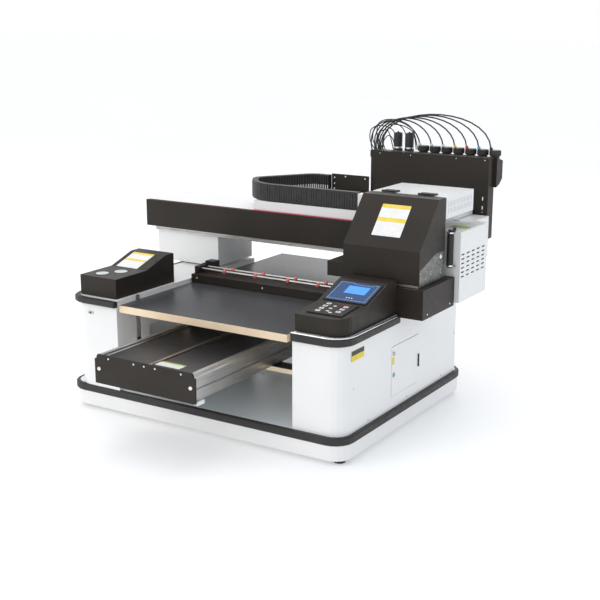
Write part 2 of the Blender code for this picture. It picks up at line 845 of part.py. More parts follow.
def make_damper():
    profile = (
        (0.009, 0.5617),
        (0.012, 0.565),
        (0.012, 0.683),
        (0.007, 0.686),
        (0.007, 0.697),
    )
    part("damper_tube", turned(profile, (0.070, 0.6465, 0.0), steps=16), "black_rubber")


# Ink rack


def bottle_xs():
    return [-0.400 + BOTTLE_PITCH * i for i in range(9)]


MOTOR_COUNT = 2


def make_rack():
    rack = part("ink_rack", box(RACK, (RACK_FRONT, RACK_BACK), (RACK_LOW, RACK_TOP)), "black_paint")
    inside = (
        (RACK[0] + SHEET, RACK[1] - SHEET),
        (RACK_FRONT + SHEET, RACK_BACK + 0.01),
        (RACK_LOW + SHEET, RACK_TOP - SHEET),
    )
    cut(rack, boxes([inside]))
    shelf = box(SHELF, (RACK_BACK + 0.0005, SHELF_BACK), (SHELF_LOW, SHELF_TOP))
    row = part("ink_bottle_row", shelf, "black_paint")
    for i, x in enumerate(bottle_xs()):
        if i < MOTOR_COUNT:
            profile = ((0.020, 0.87), (0.020, 0.920), (0.018, 0.921), (0.018, 0.984))
        else:
            x += BOTTLE_SHIFT
            profile = ((0.018, 0.87), (0.018, 0.915), (0.022, 0.916), (0.022, BOTTLE_TOP))
        join(row, turned(profile, (x, BOTTLE_Y, 0.0), steps=14))


def arch(end_x, start):
    """Points of an ink tube from the clamp up and over to its bottle, on one smooth curve."""
    span = end_x - start.x
    finish = Vector((end_x - 0.004, BOTTLE_Y, BOTTLE_TOP + 0.0015))
    controls = (
        start,
        start + Vector((-0.045, 0.0, 0.160 + 0.08 * span)),
        finish + Vector((-0.015, 0.0, 0.070 + 0.24 * span)),
        finish,
    )
    points = []
    count = 16
    for i in range(count + 1):
        t = i / count
        weights = ((1 - t) ** 3, 3 * t * (1 - t) ** 2, 3 * t * t * (1 - t), t**3)
        points.append(sum((c * w for c, w in zip(controls, weights)), Vector()))
    return points


def tube_mesh(points, radius):
    """A closed tube along the points, from a bevelled curve."""
    curve = bpy.data.curves.new("tube", "CURVE")
    curve.dimensions = "3D"
    curve.bevel_depth = radius
    curve.bevel_resolution = 2
    curve.use_fill_caps = True
    spline = curve.splines.new("POLY")
    spline.points.add(len(points) - 1)
    for target, point in zip(spline.points, points):
        target.co = (*point, 1.0)
    guide = bpy.data.objects.new("tube", curve)
    mesh = bmesh.new()
    mesh.from_mesh(guide.to_mesh())
    bmesh.ops.remove_doubles(mesh, verts=mesh.verts, dist=1e-5)
    bpy.data.objects.remove(guide)
    return mesh


def make_tubes():
    clamp_xs = (RACK[0] - 0.034, RACK[0] + 0.034)
    clamp_ys = (RACK_BACK + 0.0008, RACK_BACK + 0.045)
    tubes = part("ink_tubes", box(clamp_xs, clamp_ys, (0.880, 0.908)), "black_rubber")
    for i, x in enumerate(bottle_xs()[MOTOR_COUNT:]):
        across = clamp_xs[0] + 0.005 + 0.007 * i
        start = Vector((across, clamp_ys[0] + 0.007 + 0.015 * (i % 3), 0.903))
        join(tubes, tube_mesh(arch(x, start), TUBE_RADIUS))


# Bed and lift


def module_outline():
    """Section of the aluminium Y module: two side extrusions, a floor and two cover plates."""
    half = [
        (0.000, MODULE_LOW),
        (0.205, MODULE_LOW),
        (0.213, MODULE_LOW + 0.008),
        (0.213, 0.267),
        (0.207, 0.269),
        (0.207, 0.275),
        (0.213, 0.277),
        (0.213, 0.308),
        (0.208, 0.312),
        (0.208, MODULE_TOP),
        (0.192, MODULE_TOP),
        (0.192, 0.315),
        (0.183, 0.312),
        (0.012, 0.312),
        (0.012, 0.308),
        (0.178, 0.308),
        (0.178, MODULE_LOW + 0.010),
        (0.000, MODULE_LOW + 0.010),
    ]
    right = [(MODULE_MIDDLE + x, z) for x, z in half]
    left = [(MODULE_MIDDLE - x, z) for x, z in reversed(half[1:-1])]
    return right + left


def make_module():
    module = prism("Y", module_outline(), MODULE_FRONT, MODULE_BACK)
    part("y_module", module, "aluminium")
    notch = 0.014
    half = MODULE_HALF + 0.004
    outline = [
        (-half, 0.221),
        (half, 0.221),
        (half, 0.309),
        (half - 0.008, 0.309),
        (half - 0.008, 0.315),
        (half - notch, 0.326),
        (half - 0.030, 0.326),
        (0.030 - half, 0.326),
        (notch - half, 0.326),
        (0.008 - half, 0.315),
        (0.008 - half, 0.309),
        (-half, 0.309),
    ]
    moved = [(MODULE_MIDDLE + x, z) for x, z in outline]
    plate = prism("Y", moved, MODULE_FRONT - 0.006, MODULE_FRONT - GAP)
    part("y_module_front_plate", plate, "black_paint")


def make_lift():
    for end, y in CROSSBEAM_YS.items():
        beam = box(CROSSBEAM, (y, y + CROSSBEAM_DEPTH), (CROSSBEAM_LOW, MODULE_LOW - GAP))
        cross = part(f"lift_crossbeam_{end}", beam, "aluminium")
        for x in GUIDE_XS.values():
            middle = (x, y + CROSSBEAM_DEPTH / 2, 0.0)
            cut(cross, rod(GUIDE_RADIUS + 0.0006, 0.15, 0.30, middle))
    for side, x in GUIDE_XS.items():
        foot = (TRAY_FLOOR + 0.0006, TRAY_FLOOR + 0.008)
        ys = (CROSSBEAM_YS["front"], CROSSBEAM_YS["rear"] + CROSSBEAM_DEPTH)
        plate = box((x - 0.018, x + 0.018), ys, foot)
        guide = part(f"lift_guide_{side}", plate, "steel")
        for y in CROSSBEAM_YS.values():
            middle = (x, y + CROSSBEAM_DEPTH / 2, 0.0)
            join(guide, rod(GUIDE_RADIUS, foot[1] - 0.002, 0.385, middle))


def make_bed():
    low = MODULE_TOP + 0.0006
    plate_low = 0.376
    xs = (MODULE_MIDDLE - 0.200, MODULE_MIDDLE + 0.200)
    slide = box(xs, (0.20, 0.90), (plate_low, BED_LOW - GAP))
    carriage = part("bed_carriage", slide, "aluminium")
    blocks = []
    for side in (-1, 1):
        middle = MODULE_MIDDLE + side * 0.200
        for y in (0.22, 0.80):
            blocks.append(((middle - 0.014, middle + 0.014), (y, y + 0.08), (low, plate_low + 0.004)))
    join(carriage, boxes(blocks))
    plate = box(BED, (BED_FRONT, BED_BACK), (BED_LOW, BED_TOP))
    bed = part("bed", plate, "bed_black")
    seat_xs = (ROTARY[0] - 0.01, ROTARY[1] + 0.001)
    seat_ys = (ROTARY_FRONT - 0.001, ROTARY_BACK + 0.001)
    cut(bed, box(seat_xs, seat_ys, (BED_TOP - ROTARY_SEAT, BED_TOP + 0.01)))


# Rotary attachment


def make_rotary():
    low = BED_TOP + GAP
    base = box(ROTARY, (ROTARY_FRONT, ROTARY_BACK), (low, ROTARY_TOP))
    frame = part("rotary_frame", base, "black_paint")
    ends = (ROTARY[0], ROTARY[0] + 0.020), (ROTARY[1] - 0.016, ROTARY[1])
    ears = [(xs, (0.470, 0.552), (ROTARY_TOP - 0.002, 0.4775)) for xs in ends]
    drive = ((ROTARY[0] + 0.004, ROTARY[0] + 0.046), (0.535, 0.575), (ROTARY_TOP - 0.002, 0.488))
    join(frame, boxes(ears), boxes([drive]))
    for y in ROLLER_YS.values():
        for xs in ends:
            seat = rod(0.0046, xs[0] - 0.01, xs[1] + 0.01, (0.0, y, ROLLER_Z), "X", 12)
            cut(frame, seat)
    for end, y in ROLLER_YS.items():
        shift = REAR_RING_SHIFT if end == "rear" else 0.0
        part(f"rotary_roller_{end}", roller(y, shift), "steel", (ends[0][1], y, ROLLER_Z))


def roller(y, shift):
    """A steel rod with rubber rings, thinner where it turns in the frame's end plates."""
    journal = 0.004
    start = ROTARY[0] + 0.003
    stop = ROTARY[1] - 0.003
    body = (ROTARY[0] + 0.0215, ROTARY[1] - 0.0175)
    profile = [(journal, start), (journal, body[0]), (ROLLER_RADIUS, body[0])]
    half = 0.003
    for x in (x + shift for x in RING_XS):
        profile += [
            (ROLLER_RADIUS, x - half - 0.001),
            (RING_RADIUS, x - half),
            (RING_RADIUS, x + half),
            (ROLLER_RADIUS, x + half + 0.001),
        ]
    profile += [(ROLLER_RADIUS, body[1]), (journal, body[1]), (journal, stop)]
    return turned(profile, (0.0, y, ROLLER_Z), "X", 12)


def main():
    clear_scene()
    make_finishes()
    make_base()
    make_feet()
    make_cabinets()
    make_trims()
    make_left_console()
    make_right_console()
    make_panels()
    make_door()
    make_station()
    make_capping_unit()
    make_posts()
    make_beam()
    make_deck()
    make_chain()
    make_carriage_frame()
    make_print_heads()
    make_hood()
    make_rear_cover()
    make_hinges()
    make_uv_lamp()
    make_damper()
    make_rack()
    make_tubes()
    make_module()
    make_lift()
    make_bed()
    make_rotary()


main()
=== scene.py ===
import json
import math

import bpy
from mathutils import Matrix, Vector

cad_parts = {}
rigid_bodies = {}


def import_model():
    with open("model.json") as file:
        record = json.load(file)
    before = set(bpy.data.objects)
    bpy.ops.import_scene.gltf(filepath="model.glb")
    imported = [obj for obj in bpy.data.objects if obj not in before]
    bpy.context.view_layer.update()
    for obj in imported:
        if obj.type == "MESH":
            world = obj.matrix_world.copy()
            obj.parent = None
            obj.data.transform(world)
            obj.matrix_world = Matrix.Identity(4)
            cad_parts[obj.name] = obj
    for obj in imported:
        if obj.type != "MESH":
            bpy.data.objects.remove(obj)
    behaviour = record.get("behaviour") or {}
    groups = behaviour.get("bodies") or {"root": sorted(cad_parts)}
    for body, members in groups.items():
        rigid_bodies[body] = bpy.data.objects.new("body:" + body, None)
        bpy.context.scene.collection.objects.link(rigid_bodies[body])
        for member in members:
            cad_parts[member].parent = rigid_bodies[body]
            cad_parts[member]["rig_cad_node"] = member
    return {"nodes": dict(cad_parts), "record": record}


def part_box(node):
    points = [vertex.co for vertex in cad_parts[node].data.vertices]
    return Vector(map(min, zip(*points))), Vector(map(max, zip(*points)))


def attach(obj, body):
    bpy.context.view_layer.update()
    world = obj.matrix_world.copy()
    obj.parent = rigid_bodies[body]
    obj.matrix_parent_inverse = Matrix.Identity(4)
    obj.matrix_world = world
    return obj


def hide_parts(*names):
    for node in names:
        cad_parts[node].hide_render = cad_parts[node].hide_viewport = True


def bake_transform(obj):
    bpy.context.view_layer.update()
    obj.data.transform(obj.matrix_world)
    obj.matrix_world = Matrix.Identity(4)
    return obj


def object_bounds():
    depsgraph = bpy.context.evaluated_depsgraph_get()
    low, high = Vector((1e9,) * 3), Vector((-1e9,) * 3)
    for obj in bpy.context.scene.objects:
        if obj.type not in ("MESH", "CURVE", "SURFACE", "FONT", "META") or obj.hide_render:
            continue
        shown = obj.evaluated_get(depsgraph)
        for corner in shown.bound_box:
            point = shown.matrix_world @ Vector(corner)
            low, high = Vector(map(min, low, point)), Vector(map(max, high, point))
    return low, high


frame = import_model()
CAD_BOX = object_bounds()
NODES = frame["nodes"]

# Lengths below are in metres from the datum, the plinth's front right lower corner:
# x is negative to the left, y grows to the back.
TRAY_LOW, TRAY_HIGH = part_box("base_tray")
DATUM = Vector((TRAY_HIGH.x, TRAY_LOW.y, TRAY_LOW.z))


def at(x, y, z):
    return DATUM + Vector((x, y, z))


# Camera

CAMERA_AT = (2.3478, -3.4507, 1.4695)
CAMERA_TURN = (75.704, 0.0, 32.19)
camera_data = bpy.data.cameras.new("camera")
camera_data.lens = 67.0
camera_data.sensor_width = 36.0
camera = bpy.data.objects.new("camera", camera_data)
bpy.context.scene.collection.objects.link(camera)
camera.location = CAMERA_AT
camera.rotation_euler = [math.radians(angle) for angle in CAMERA_TURN]
bpy.context.scene.camera = camera


# Materials


def add(tree, kind, inputs=None, **settings):
    """A shader node, with its settings and its inputs: a socket is linked, a value is set."""
    made = tree.nodes.new("ShaderNode" + kind)
    for key, value in settings.items():
        setattr(made, key, value)
    for key, value in (inputs or {}).items():
        if isinstance(value, bpy.types.NodeSocket):
            tree.links.new(value, made.inputs[key])
        else:
            made.inputs[key].default_value = value
    return made


def noise(tree, scale, detail=3.0, stretch=(1.0, 1.0, 1.0)):
    """Noise in the piece's own coordinates. scale is in features per metre."""
    coords = add(tree, "TexCoord").outputs["Object"]
    mapped = add(tree, "Mapping", {"Vector": coords, "Scale": stretch})
    inputs = {"Vector": mapped.outputs["Vector"], "Scale": scale, "Detail": detail}
    return add(tree, "TexNoise", inputs).outputs["Fac"]


def spread(tree, value, low, high):
    """Noise, which stays near the middle, spread over the range from low to high."""
    inputs = {"Value": value, 1: 0.3, 2: 0.7, 3: low, 4: high}
    return add(tree, "MapRange", inputs).outputs["Result"]


def mix_colour(tree, factor, one, two):
    made = add(tree, "Mix", data_type="RGBA")
    for index, value in ((0, factor), (6, one), (7, two)):
        if isinstance(value, bpy.types.NodeSocket):
            tree.links.new(value, made.inputs[index])
        else:
            made.inputs[index].default_value = value
    return made.outputs[2]


def mix_number(tree, factor, one, two):
    made = add(tree, "Mix", data_type="FLOAT")
    for index, value in ((0, factor), (2, one), (3, two)):
        if isinstance(value, bpy.types.NodeSocket):
            tree.links.new(value, made.inputs[index])
        else:
            made.inputs[index].default_value = value
    return made.outputs[0]


def maths(tree, operation, *values):
    made = add(tree, "Math", dict(enumerate(values)), operation=operation)
    return made.outputs[0]


def axis_of(tree, which, index):
    source = add(tree, "TexCoord").outputs[which]
    return add(tree, "SeparateXYZ", {0: source}).outputs[index]


def facing_up(tree):
    return maths(tree, "GREATER_THAN", axis_of(tree, "Normal", 2), 0.85)


def band(tree, index, low, high):
    """1 where the piece's coordinate along that axis is between low and high."""
    value = axis_of(tree, "Object", index)
    return maths(tree, "COMPARE", value, (low + high) / 2, (high - low) / 2)


def look(dark, light, rough, metallic=0.0, patch=5.0, grain=1400.0, depth=0.00003,
         brush=None, shine=0.5):
    return {
        "dark": (*dark, 1.0),
        "light": (*light, 1.0),
        "rough": rough,
        "metallic": metallic,
        "patch": patch,
        "grain": grain,
        "depth": depth,
        "brush": brush or (1.0, 1.0, 1.0),
        "shine": shine,
    }


def finish(name, base, over=None, mask=None, coat=0.0, edge=0.0009, glow=0.0):
    """A procedural finish: patchy tone, uneven roughness, fine grain and softened edges.
    mask gives where the second look lies over the first."""
    material = bpy.data.materials.new(name)
    material.use_nodes = True
    tree = material.node_tree
    tree.nodes.clear()
    output = add(tree, "OutputMaterial")
    shader = add(tree, "BsdfPrincipled")
    tree.links.new(shader.outputs[0], output.inputs["Surface"])
    colours, roughs, heights = [], [], []
    looks = [base] + ([over] if over else [])
    for each in looks:
        tone = spread(tree, noise(tree, each["patch"], 5.0), 0.0, 1.0)
        colours.append(mix_colour(tree, tone, each["dark"], each["light"]))
        wear = noise(tree, each["patch"] * 7.0, 3.0, each["brush"])
        roughs.append(spread(tree, wear, *each["rough"]))
        grain = noise(tree, each["grain"], 2.0, each["brush"])
        heights.append(maths(tree, "MULTIPLY", grain, each["depth"]))
    colour, rough, height = colours[0], roughs[0], heights[0]
    if over:
        factor = mask(tree)
        colour = mix_colour(tree, factor, *colours)
        rough = mix_number(tree, factor, *roughs)
        height = mix_number(tree, factor, *heights)
    if over and over["metallic"] != base["metallic"]:
        metallic = mix_number(tree, factor, base["metallic"], over["metallic"])
        tree.links.new(metallic, shader.inputs["Metallic"])
    else:
        shader.inputs["Metallic"].default_value = base["metallic"]
    soft = add(tree, "Bevel", {"Radius": edge}, samples=4)
    inputs = {"Height": height, "Distance": 1.0, "Strength": 1.0, "Normal": soft.outputs[0]}
    bump = add(tree, "Bump", inputs)
    tree.links.new(bump.outputs[0], shader.inputs["Normal"])
    tree.links.new(colour, shader.inputs["Base Color"])
    tree.links.new(rough, shader.inputs["Roughness"])
    shader.inputs["Coat Weight"].default_value = coat
    shader.inputs["Specular IOR Level"].default_value = base["shine"]
    if glow:
        tree.links.new(colour, shader.inputs["Emission Color"])
        shader.inputs["Emission Strength"].default_value = glow
    return material


WHITE = look((0.830, 0.827, 0.815), (0.860, 0.857, 0.846), (0.31, 0.35), patch=3.5)
BLACK = look((0.022, 0.0175, 0.0133), (0.029, 0.0232, 0.0178), (0.40, 0.47), patch=6.0,
             grain=1900.0, depth=0.00004, shine=0.24)
RUBBER = look((0.014, 0.0125, 0.0115), (0.024, 0.021, 0.019), (0.42, 0.56), patch=12.0,
              grain=900.0, depth=0.00005)
BRUSHED_Y = (6.0, 0.12, 6.0)
BRUSHED_X = (0.12, 6.0, 6.0)
ALUMINIUM = look((0.50, 0.50, 0.495), (0.68, 0.68, 0.67), (0.24, 0.42), 0.9,
                 grain=260.0, depth=0.00002, brush=BRUSHED_Y)
STEEL = look((0.44, 0.43, 0.41), (0.62, 0.61, 0.59), (0.24, 0.44), 1.0, patch=14.0,
             grain=260.0, depth=0.00002, brush=BRUSHED_X)
CHROME = look((0.78, 0.78, 0.78), (0.90, 0.90, 0.90), (0.06, 0.16), 1.0, patch=20.0,
              depth=0.000005)
CHAMPAGNE = look((0.80, 0.62, 0.42), (0.92, 0.75, 0.55), (0.30, 0.45), 0.35,
                 grain=300.0, depth=0.00002, brush=BRUSHED_X)
# Grey of the tray floor, lightened and tinted blue by a painted reflection of the sky; used on
# up-facing faces only.
TRAY_GREY_PAINTED_REFLECTION = look((0.71, 0.78, 0.82), (0.76, 0.83, 0.87), (0.16, 0.22), patch=3.0)
BED_TOP = look((0.049, 0.050, 0.054), (0.055, 0.056, 0.061), (0.29, 0.33), patch=9.0,
               grain=2200.0, depth=0.000003, shine=0.55)
COVER_PLATE = look((0.021, 0.021, 0.023), (0.028, 0.028, 0.031), (0.34, 0.40), patch=5.0,
                   grain=2000.0, depth=0.00001)
GLASS_NAVY = look((0.011, 0.058, 0.17), (0.013, 0.070, 0.20), (0.22, 0.28), patch=20.0,
                  depth=0.0, shine=0.3)
# The carriage's steel darkened for its right-facing faces: painted shade, the same steel as if in
# shadow.
STEEL_IN_PAINTED_SHADE = look((0.13, 0.128, 0.122), (0.27, 0.266, 0.255), (0.34, 0.50), 0.8, patch=70.0,
                  grain=420.0, depth=0.00003)
DISC_GREY = look((0.50, 0.56, 0.52), (0.62, 0.67, 0.63), (0.30, 0.45), patch=40.0)
KEY_WHITE = look((0.70, 0.69, 0.66), (0.82, 0.81, 0.78), (0.35, 0.5), patch=60.0)
PLASTIC = look((0.016, 0.0145, 0.0135), (0.034, 0.031, 0.028), (0.36, 0.52), patch=40.0,
               grain=1500.0, depth=0.00004)

FINISHES = {
    "white_paint": finish("white_paint", WHITE, coat=0.15),
    "black_paint": finish("black_paint", BLACK),
    "black_rubber": finish("black_rubber", RUBBER, edge=0.002),
    "aluminium": finish("aluminium", ALUMINIUM),
    "steel": finish("steel", STEEL),
    "bed_black": finish("bed_plate", CHAMPAGNE, BED_TOP, facing_up),
    "display": finish("display_glass", GLASS_NAVY),
    "key_white": finish("key_white", KEY_WHITE),
    "button_grey": finish("button_grey", DISC_GREY, coat=0.3),
    "tube_black": finish("black_plastic", PLASTIC),
}
# White paint on the tray's sides; its up-facing faces get the grey floor with its painted sky
# reflection.
TRAY = finish("tray", WHITE, TRAY_GREY_PAINTED_REFLECTION, facing_up, coat=0.15)
CHROME_FINISH = finish("chrome", CHROME, edge=0.0003)
LIFT_BEAM = finish("lift_beam", CHAMPAGNE, COVER_PLATE, facing_up)


# The right-facing faces, which get the painted shade.
def right_faces_in_shade(tree):
    return maths(tree, "GREATER_THAN", axis_of(tree, "Normal", 0), 0.85)


# Carriage steel, with painted shade on its right-facing faces.
CARRIAGE_STEEL = finish("carriage_steel", STEEL, STEEL_IN_PAINTED_SHADE, right_faces_in_shade)
MODULE_PLATE_LOW = at(0, 0, 0.3075).z
MODULE = finish(
    "module", ALUMINIUM, COVER_PLATE,
    lambda tree: maths(tree, "MULTIPLY", facing_up(tree),
                       band(tree, 2, MODULE_PLATE_LOW, MODULE_PLATE_LOW + 0.006)),
)
for node in NODES.values():
    node_slot = next(
        part["material_slot"] for part in frame["record"]["subparts"]
        if part["node"] == node["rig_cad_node"]
    )
    node.data.materials.clear()
    node.data.materials.append(FINISHES[node_slot])
for node_name, material in (
    ("base_tray", TRAY),
    ("y_module", MODULE),
    ("lift_crossbeam_front", LIFT_BEAM),
    ("lift_crossbeam_rear", LIFT_BEAM),
    ("bed_carriage", FINISHES["aluminium"]),
    ("carriage_frame", CARRIAGE_STEEL),
):
    NODES[node_name].data.materials[0] = material


def plain(name, colour, rough=(0.35, 0.5), metallic=0.0, coat=0.0, glow=0.0):
    """A small part's finish: one colour with slight patches and grain."""
    dark = tuple(channel * 0.85 for channel in colour)
    base = look(dark, colour, rough, metallic, patch=60.0)
    return finish(name, base, coat=coat, edge=0.0003, glow=glow)


DARK_RED = plain("dark_red", (0.36, 0.012, 0.035))
RING_RED = plain("ring_red", (0.75, 0.16, 0.15), (0.2, 0.35))
SIGN_YELLOW = plain("sign_yellow", (0.86, 0.70, 0.03))
SIGN_GREEN = plain("sign_green", (0.42, 0.56, 0.04))
WINDOW_BLUE = plain("window_blue", (0.05, 0.27, 0.90), (0.1, 0.2), glow=0.55)
OUTLINE_BLUE = plain("outline_blue", (0.42, 0.55, 0.74), (0.2, 0.3))
LED_WHITE = plain("led_white", (0.9, 0.9, 0.9), (0.2, 0.3), glow=0.5)
COLLARS = {
    "white": plain("collar_white", (0.75, 0.75, 0.73)),
    "yellow": plain("collar_yellow", (0.85, 0.68, 0.02)),
    "red": plain("collar_red", (0.62, 0.05, 0.03)),
    "cyan": plain("collar_cyan", (0.04, 0.38, 0.62)),
    "black": plain("collar_black", (0.03, 0.03, 0.03)),
}

# Pieces


def mesh_piece(name, points, faces, body, material, smooth=False):
    mesh = bpy.data.meshes.new(name)
    mesh.from_pydata([tuple(p) for p in points], [], faces)
    mesh.validate()
    mesh.update()
    if smooth:
        mesh.shade_smooth()
    piece = bpy.data.objects.new(name, mesh)
    bpy.context.scene.collection.objects.link(piece)
    mesh.materials.append(material)
    if body:
        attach(piece, body)
    return piece


class Shape:
    """Points and faces gathered from several simple closed bodies."""

    def __init__(self):
        self.points = []
        self.faces = []

    def hull(self, rings):
        """Rings of points of one length, joined in order and closed at both ends."""
        start = len(self.points)
        count = len(rings[0])
        for ring in rings:
            self.points.extend(ring)
        for level in range(len(rings) - 1):
            low = start + level * count
            for i in range(count):
                j = (i + 1) % count
                self.faces.append((low + i, low + j, low + count + j, low + count + i))
        self.faces.append(tuple(start + i for i in reversed(range(count))))
        top = start + (len(rings) - 1) * count
        self.faces.append(tuple(top + i for i in range(count)))

    def block(self, centre, axes, sizes, chamfer=0.0):
        """A box along three axes. A chamfer softens the edges round the third axis's end."""
        u, v, w = (Vector(axis).normalized() for axis in axes)
        half = [size / 2 for size in sizes]

        def ring(level, inset):
            across, along = half[0] - inset, half[1] - inset
            return [
                centre + u * (a * across) + v * (b * along) + w * level
                for a, b in ((-1, -1), (1, -1), (1, 1), (-1, 1))
            ]

        rings = [ring(-half[2], 0.0), ring(half[2] - chamfer, 0.0)]
        if chamfer:
            rings.append(ring(half[2], chamfer))
        self.hull(rings)

    def turned(self, centre, axis, profile, steps=14):
        """profile is (radius, height) pairs along the axis from the centre."""
        w = Vector(axis).normalized()
        u = w.orthogonal().normalized()
        v = w.cross(u)
        turns = [2 * math.pi * i / steps for i in range(steps)]
        rings = [
            [
                centre + w * height + (u * math.cos(a) + v * math.sin(a)) * radius
                for a in turns
            ]
            for radius, height in profile
        ]
        self.hull(rings)

    def piece(self, name, body, slot, material, smooth=False):
        return mesh_piece(name, self.points, self.faces, body, material, smooth)


UP = Vector((0, 0, 1))
RIGHT = Vector((1, 0, 0))
BACK = Vector((0, 1, 0))


def rounded_plate(shape, centre, u, v, size, thick, radius, steps=4):
    """A flat plate with round corners. Its back is at the centre, its face towards u x v."""
    w = u.cross(v)
    outline = []
    for quarter, (a, b) in enumerate(((1, 1), (-1, 1), (-1, -1), (1, -1))):
        middle_u = a * (size[0] / 2 - radius)
        middle_v = b * (size[1] / 2 - radius)
        for i in range(steps + 1):
            angle = math.pi / 2 * (quarter + i / steps)
            outline.append(
                (middle_u + radius * math.cos(angle), middle_v + radius * math.sin(angle))
            )
    edge = min(thick * 0.3, radius * 0.3)
    shrink = 1 - 2 * edge / min(size)
    rings = []
    for level, scale in ((0.0, 1.0), (thick - edge, 1.0), (thick, shrink)):
        rings.append([centre + u * (a * scale) + v * (b * scale) + w * level for a, b in outline])
    shape.hull(rings)


def smooth_path(points, steps=5):
    """A smooth curve through the points."""
    padded = [points[0]] + points + [points[-1]]
    path = []
    for before, start, end, after in zip(padded, padded[1:], padded[2:], padded[3:]):
        for i in range(steps):
            t = i / steps
            linear = end - before
            square = 2 * before - 5 * start + 4 * end - after
            cube = 3 * start - before - 3 * end + after
            path.append((2 * start + linear * t + square * t ** 2 + cube * t ** 3) / 2)
    return path + [points[-1]]


def tube(name, points, radius, body, material, closed_ends=True, smooth=True):
    """A round bar along a line of points."""
    data = bpy.data.curves.new(name, "CURVE")
    data.dimensions = "3D"
    data.bevel_depth = radius
    data.bevel_resolution = 3
    data.use_fill_caps = closed_ends
    if smooth:
        spline = data.splines.new("NURBS")
        spline.order_u = 4
        spline.use_endpoint_u = True
        spline.resolution_u = 8
    else:
        spline = data.splines.new("POLY")
    spline.points.add(len(points) - 1)
    for point, place in zip(spline.points, points):
        point.co = (*place, 1.0)
    data.materials.append(material)
    piece = bpy.data.objects.new(name, data)
    bpy.context.scene.collection.objects.link(piece)
    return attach(piece, body)


def screw_heads(name, body, axis, places, radius, slot="steel", material=None, proud=0.0):
    """Button-head screws with a socket, all on one face."""
    shape = Shape()
    for place in places:
        profile = [
            (radius, 0.0),
            (radius, 0.20 * radius),
            (0.86 * radius, 0.46 * radius),
            (0.52 * radius, 0.58 * radius),
            (0.46 * radius, 0.30 * radius),
            (0.05 * radius, 0.26 * radius),
        ]
        shape.turned(at(*place) + Vector(axis).normalized() * proud, axis, profile, 12)
    return shape.piece(name, body, slot, material or CHROME_FINISH)


# Sloping faces: (front y, front z, back y, back z)
LEFT_SLOPE = (0.197, 0.508, 0.313, 0.546)
RIGHT_SLOPE = (0.178, 0.504, 0.315, 0.550)
RIGHT_FLAT = (0.021, 0.490, 0.178, 0.504)
HOOD_SLOPE = (0.410, 0.658, 0.555, 0.822)


def slope_frame(slope):
    """A function from (x, y) to the point of the slope, and its directions up and outward."""
    y0, z0, y1, z1 = slope
    up = Vector((0, y1 - y0, z1 - z0)).normalized()
    out = RIGHT.cross(up)

    def point(x, y):
        return at(x, y, z0 + (z1 - z0) * (y - y0) / (y1 - y0))

    return point, up, out


# Labels: white plates with two yellow bands and faint rules


def label_finish(name, low_y, high_y):
    """Bands and rules by the distance along y, in the row frame."""
    length = high_y - low_y
    paper = look((0.80, 0.80, 0.80), (0.88, 0.88, 0.88), (0.3, 0.4), patch=40.0)
    ink = look((0.80, 0.60, 0.05), (0.88, 0.68, 0.10), (0.3, 0.4), patch=40.0)

    def mask(tree):
        head = band(tree, 1, high_y - 0.13 * length, high_y + 0.01)
        middle = band(tree, 1, high_y - 0.56 * length, high_y - 0.43 * length)
        bands = maths(tree, "MAXIMUM", head, middle)
        rows = maths(tree, "MULTIPLY", axis_of(tree, "Object", 1), 14.0 / length)
        lines = maths(tree, "GREATER_THAN", maths(tree, "FRACT", rows), 0.72)
        faint = maths(tree, "MULTIPLY", lines, 0.10)
        return maths(tree, "MAXIMUM", bands, faint)

    return finish(name, paper, ink, mask, coat=0.3, edge=0.0002)


def make_label(name, body, slope, x_span, y_span):
    point, up, out = slope_frame(slope)
    middle_x = sum(x_span) / 2
    middle_y = sum(y_span) / 2
    length = (y_span[1] - y_span[0]) / up.y
    shape = Shape()
    centre = point(middle_x, middle_y) + out * 0.0002
    rounded_plate(shape, centre, RIGHT, up, (x_span[1] - x_span[0], length), 0.0007, 0.002)
    y_low, y_high = DATUM.y + y_span[0], DATUM.y + y_span[1]
    shape.piece(name, body, "key_white", label_finish(name + "_print", y_low, y_high))


make_label("hood_label", "hood", HOOD_SLOPE, (-0.1455, -0.0310), (0.442, 0.530))
make_label("console_label", "root", LEFT_SLOPE, (-1.138, -1.033), (0.1985, 0.3085))


# Screws


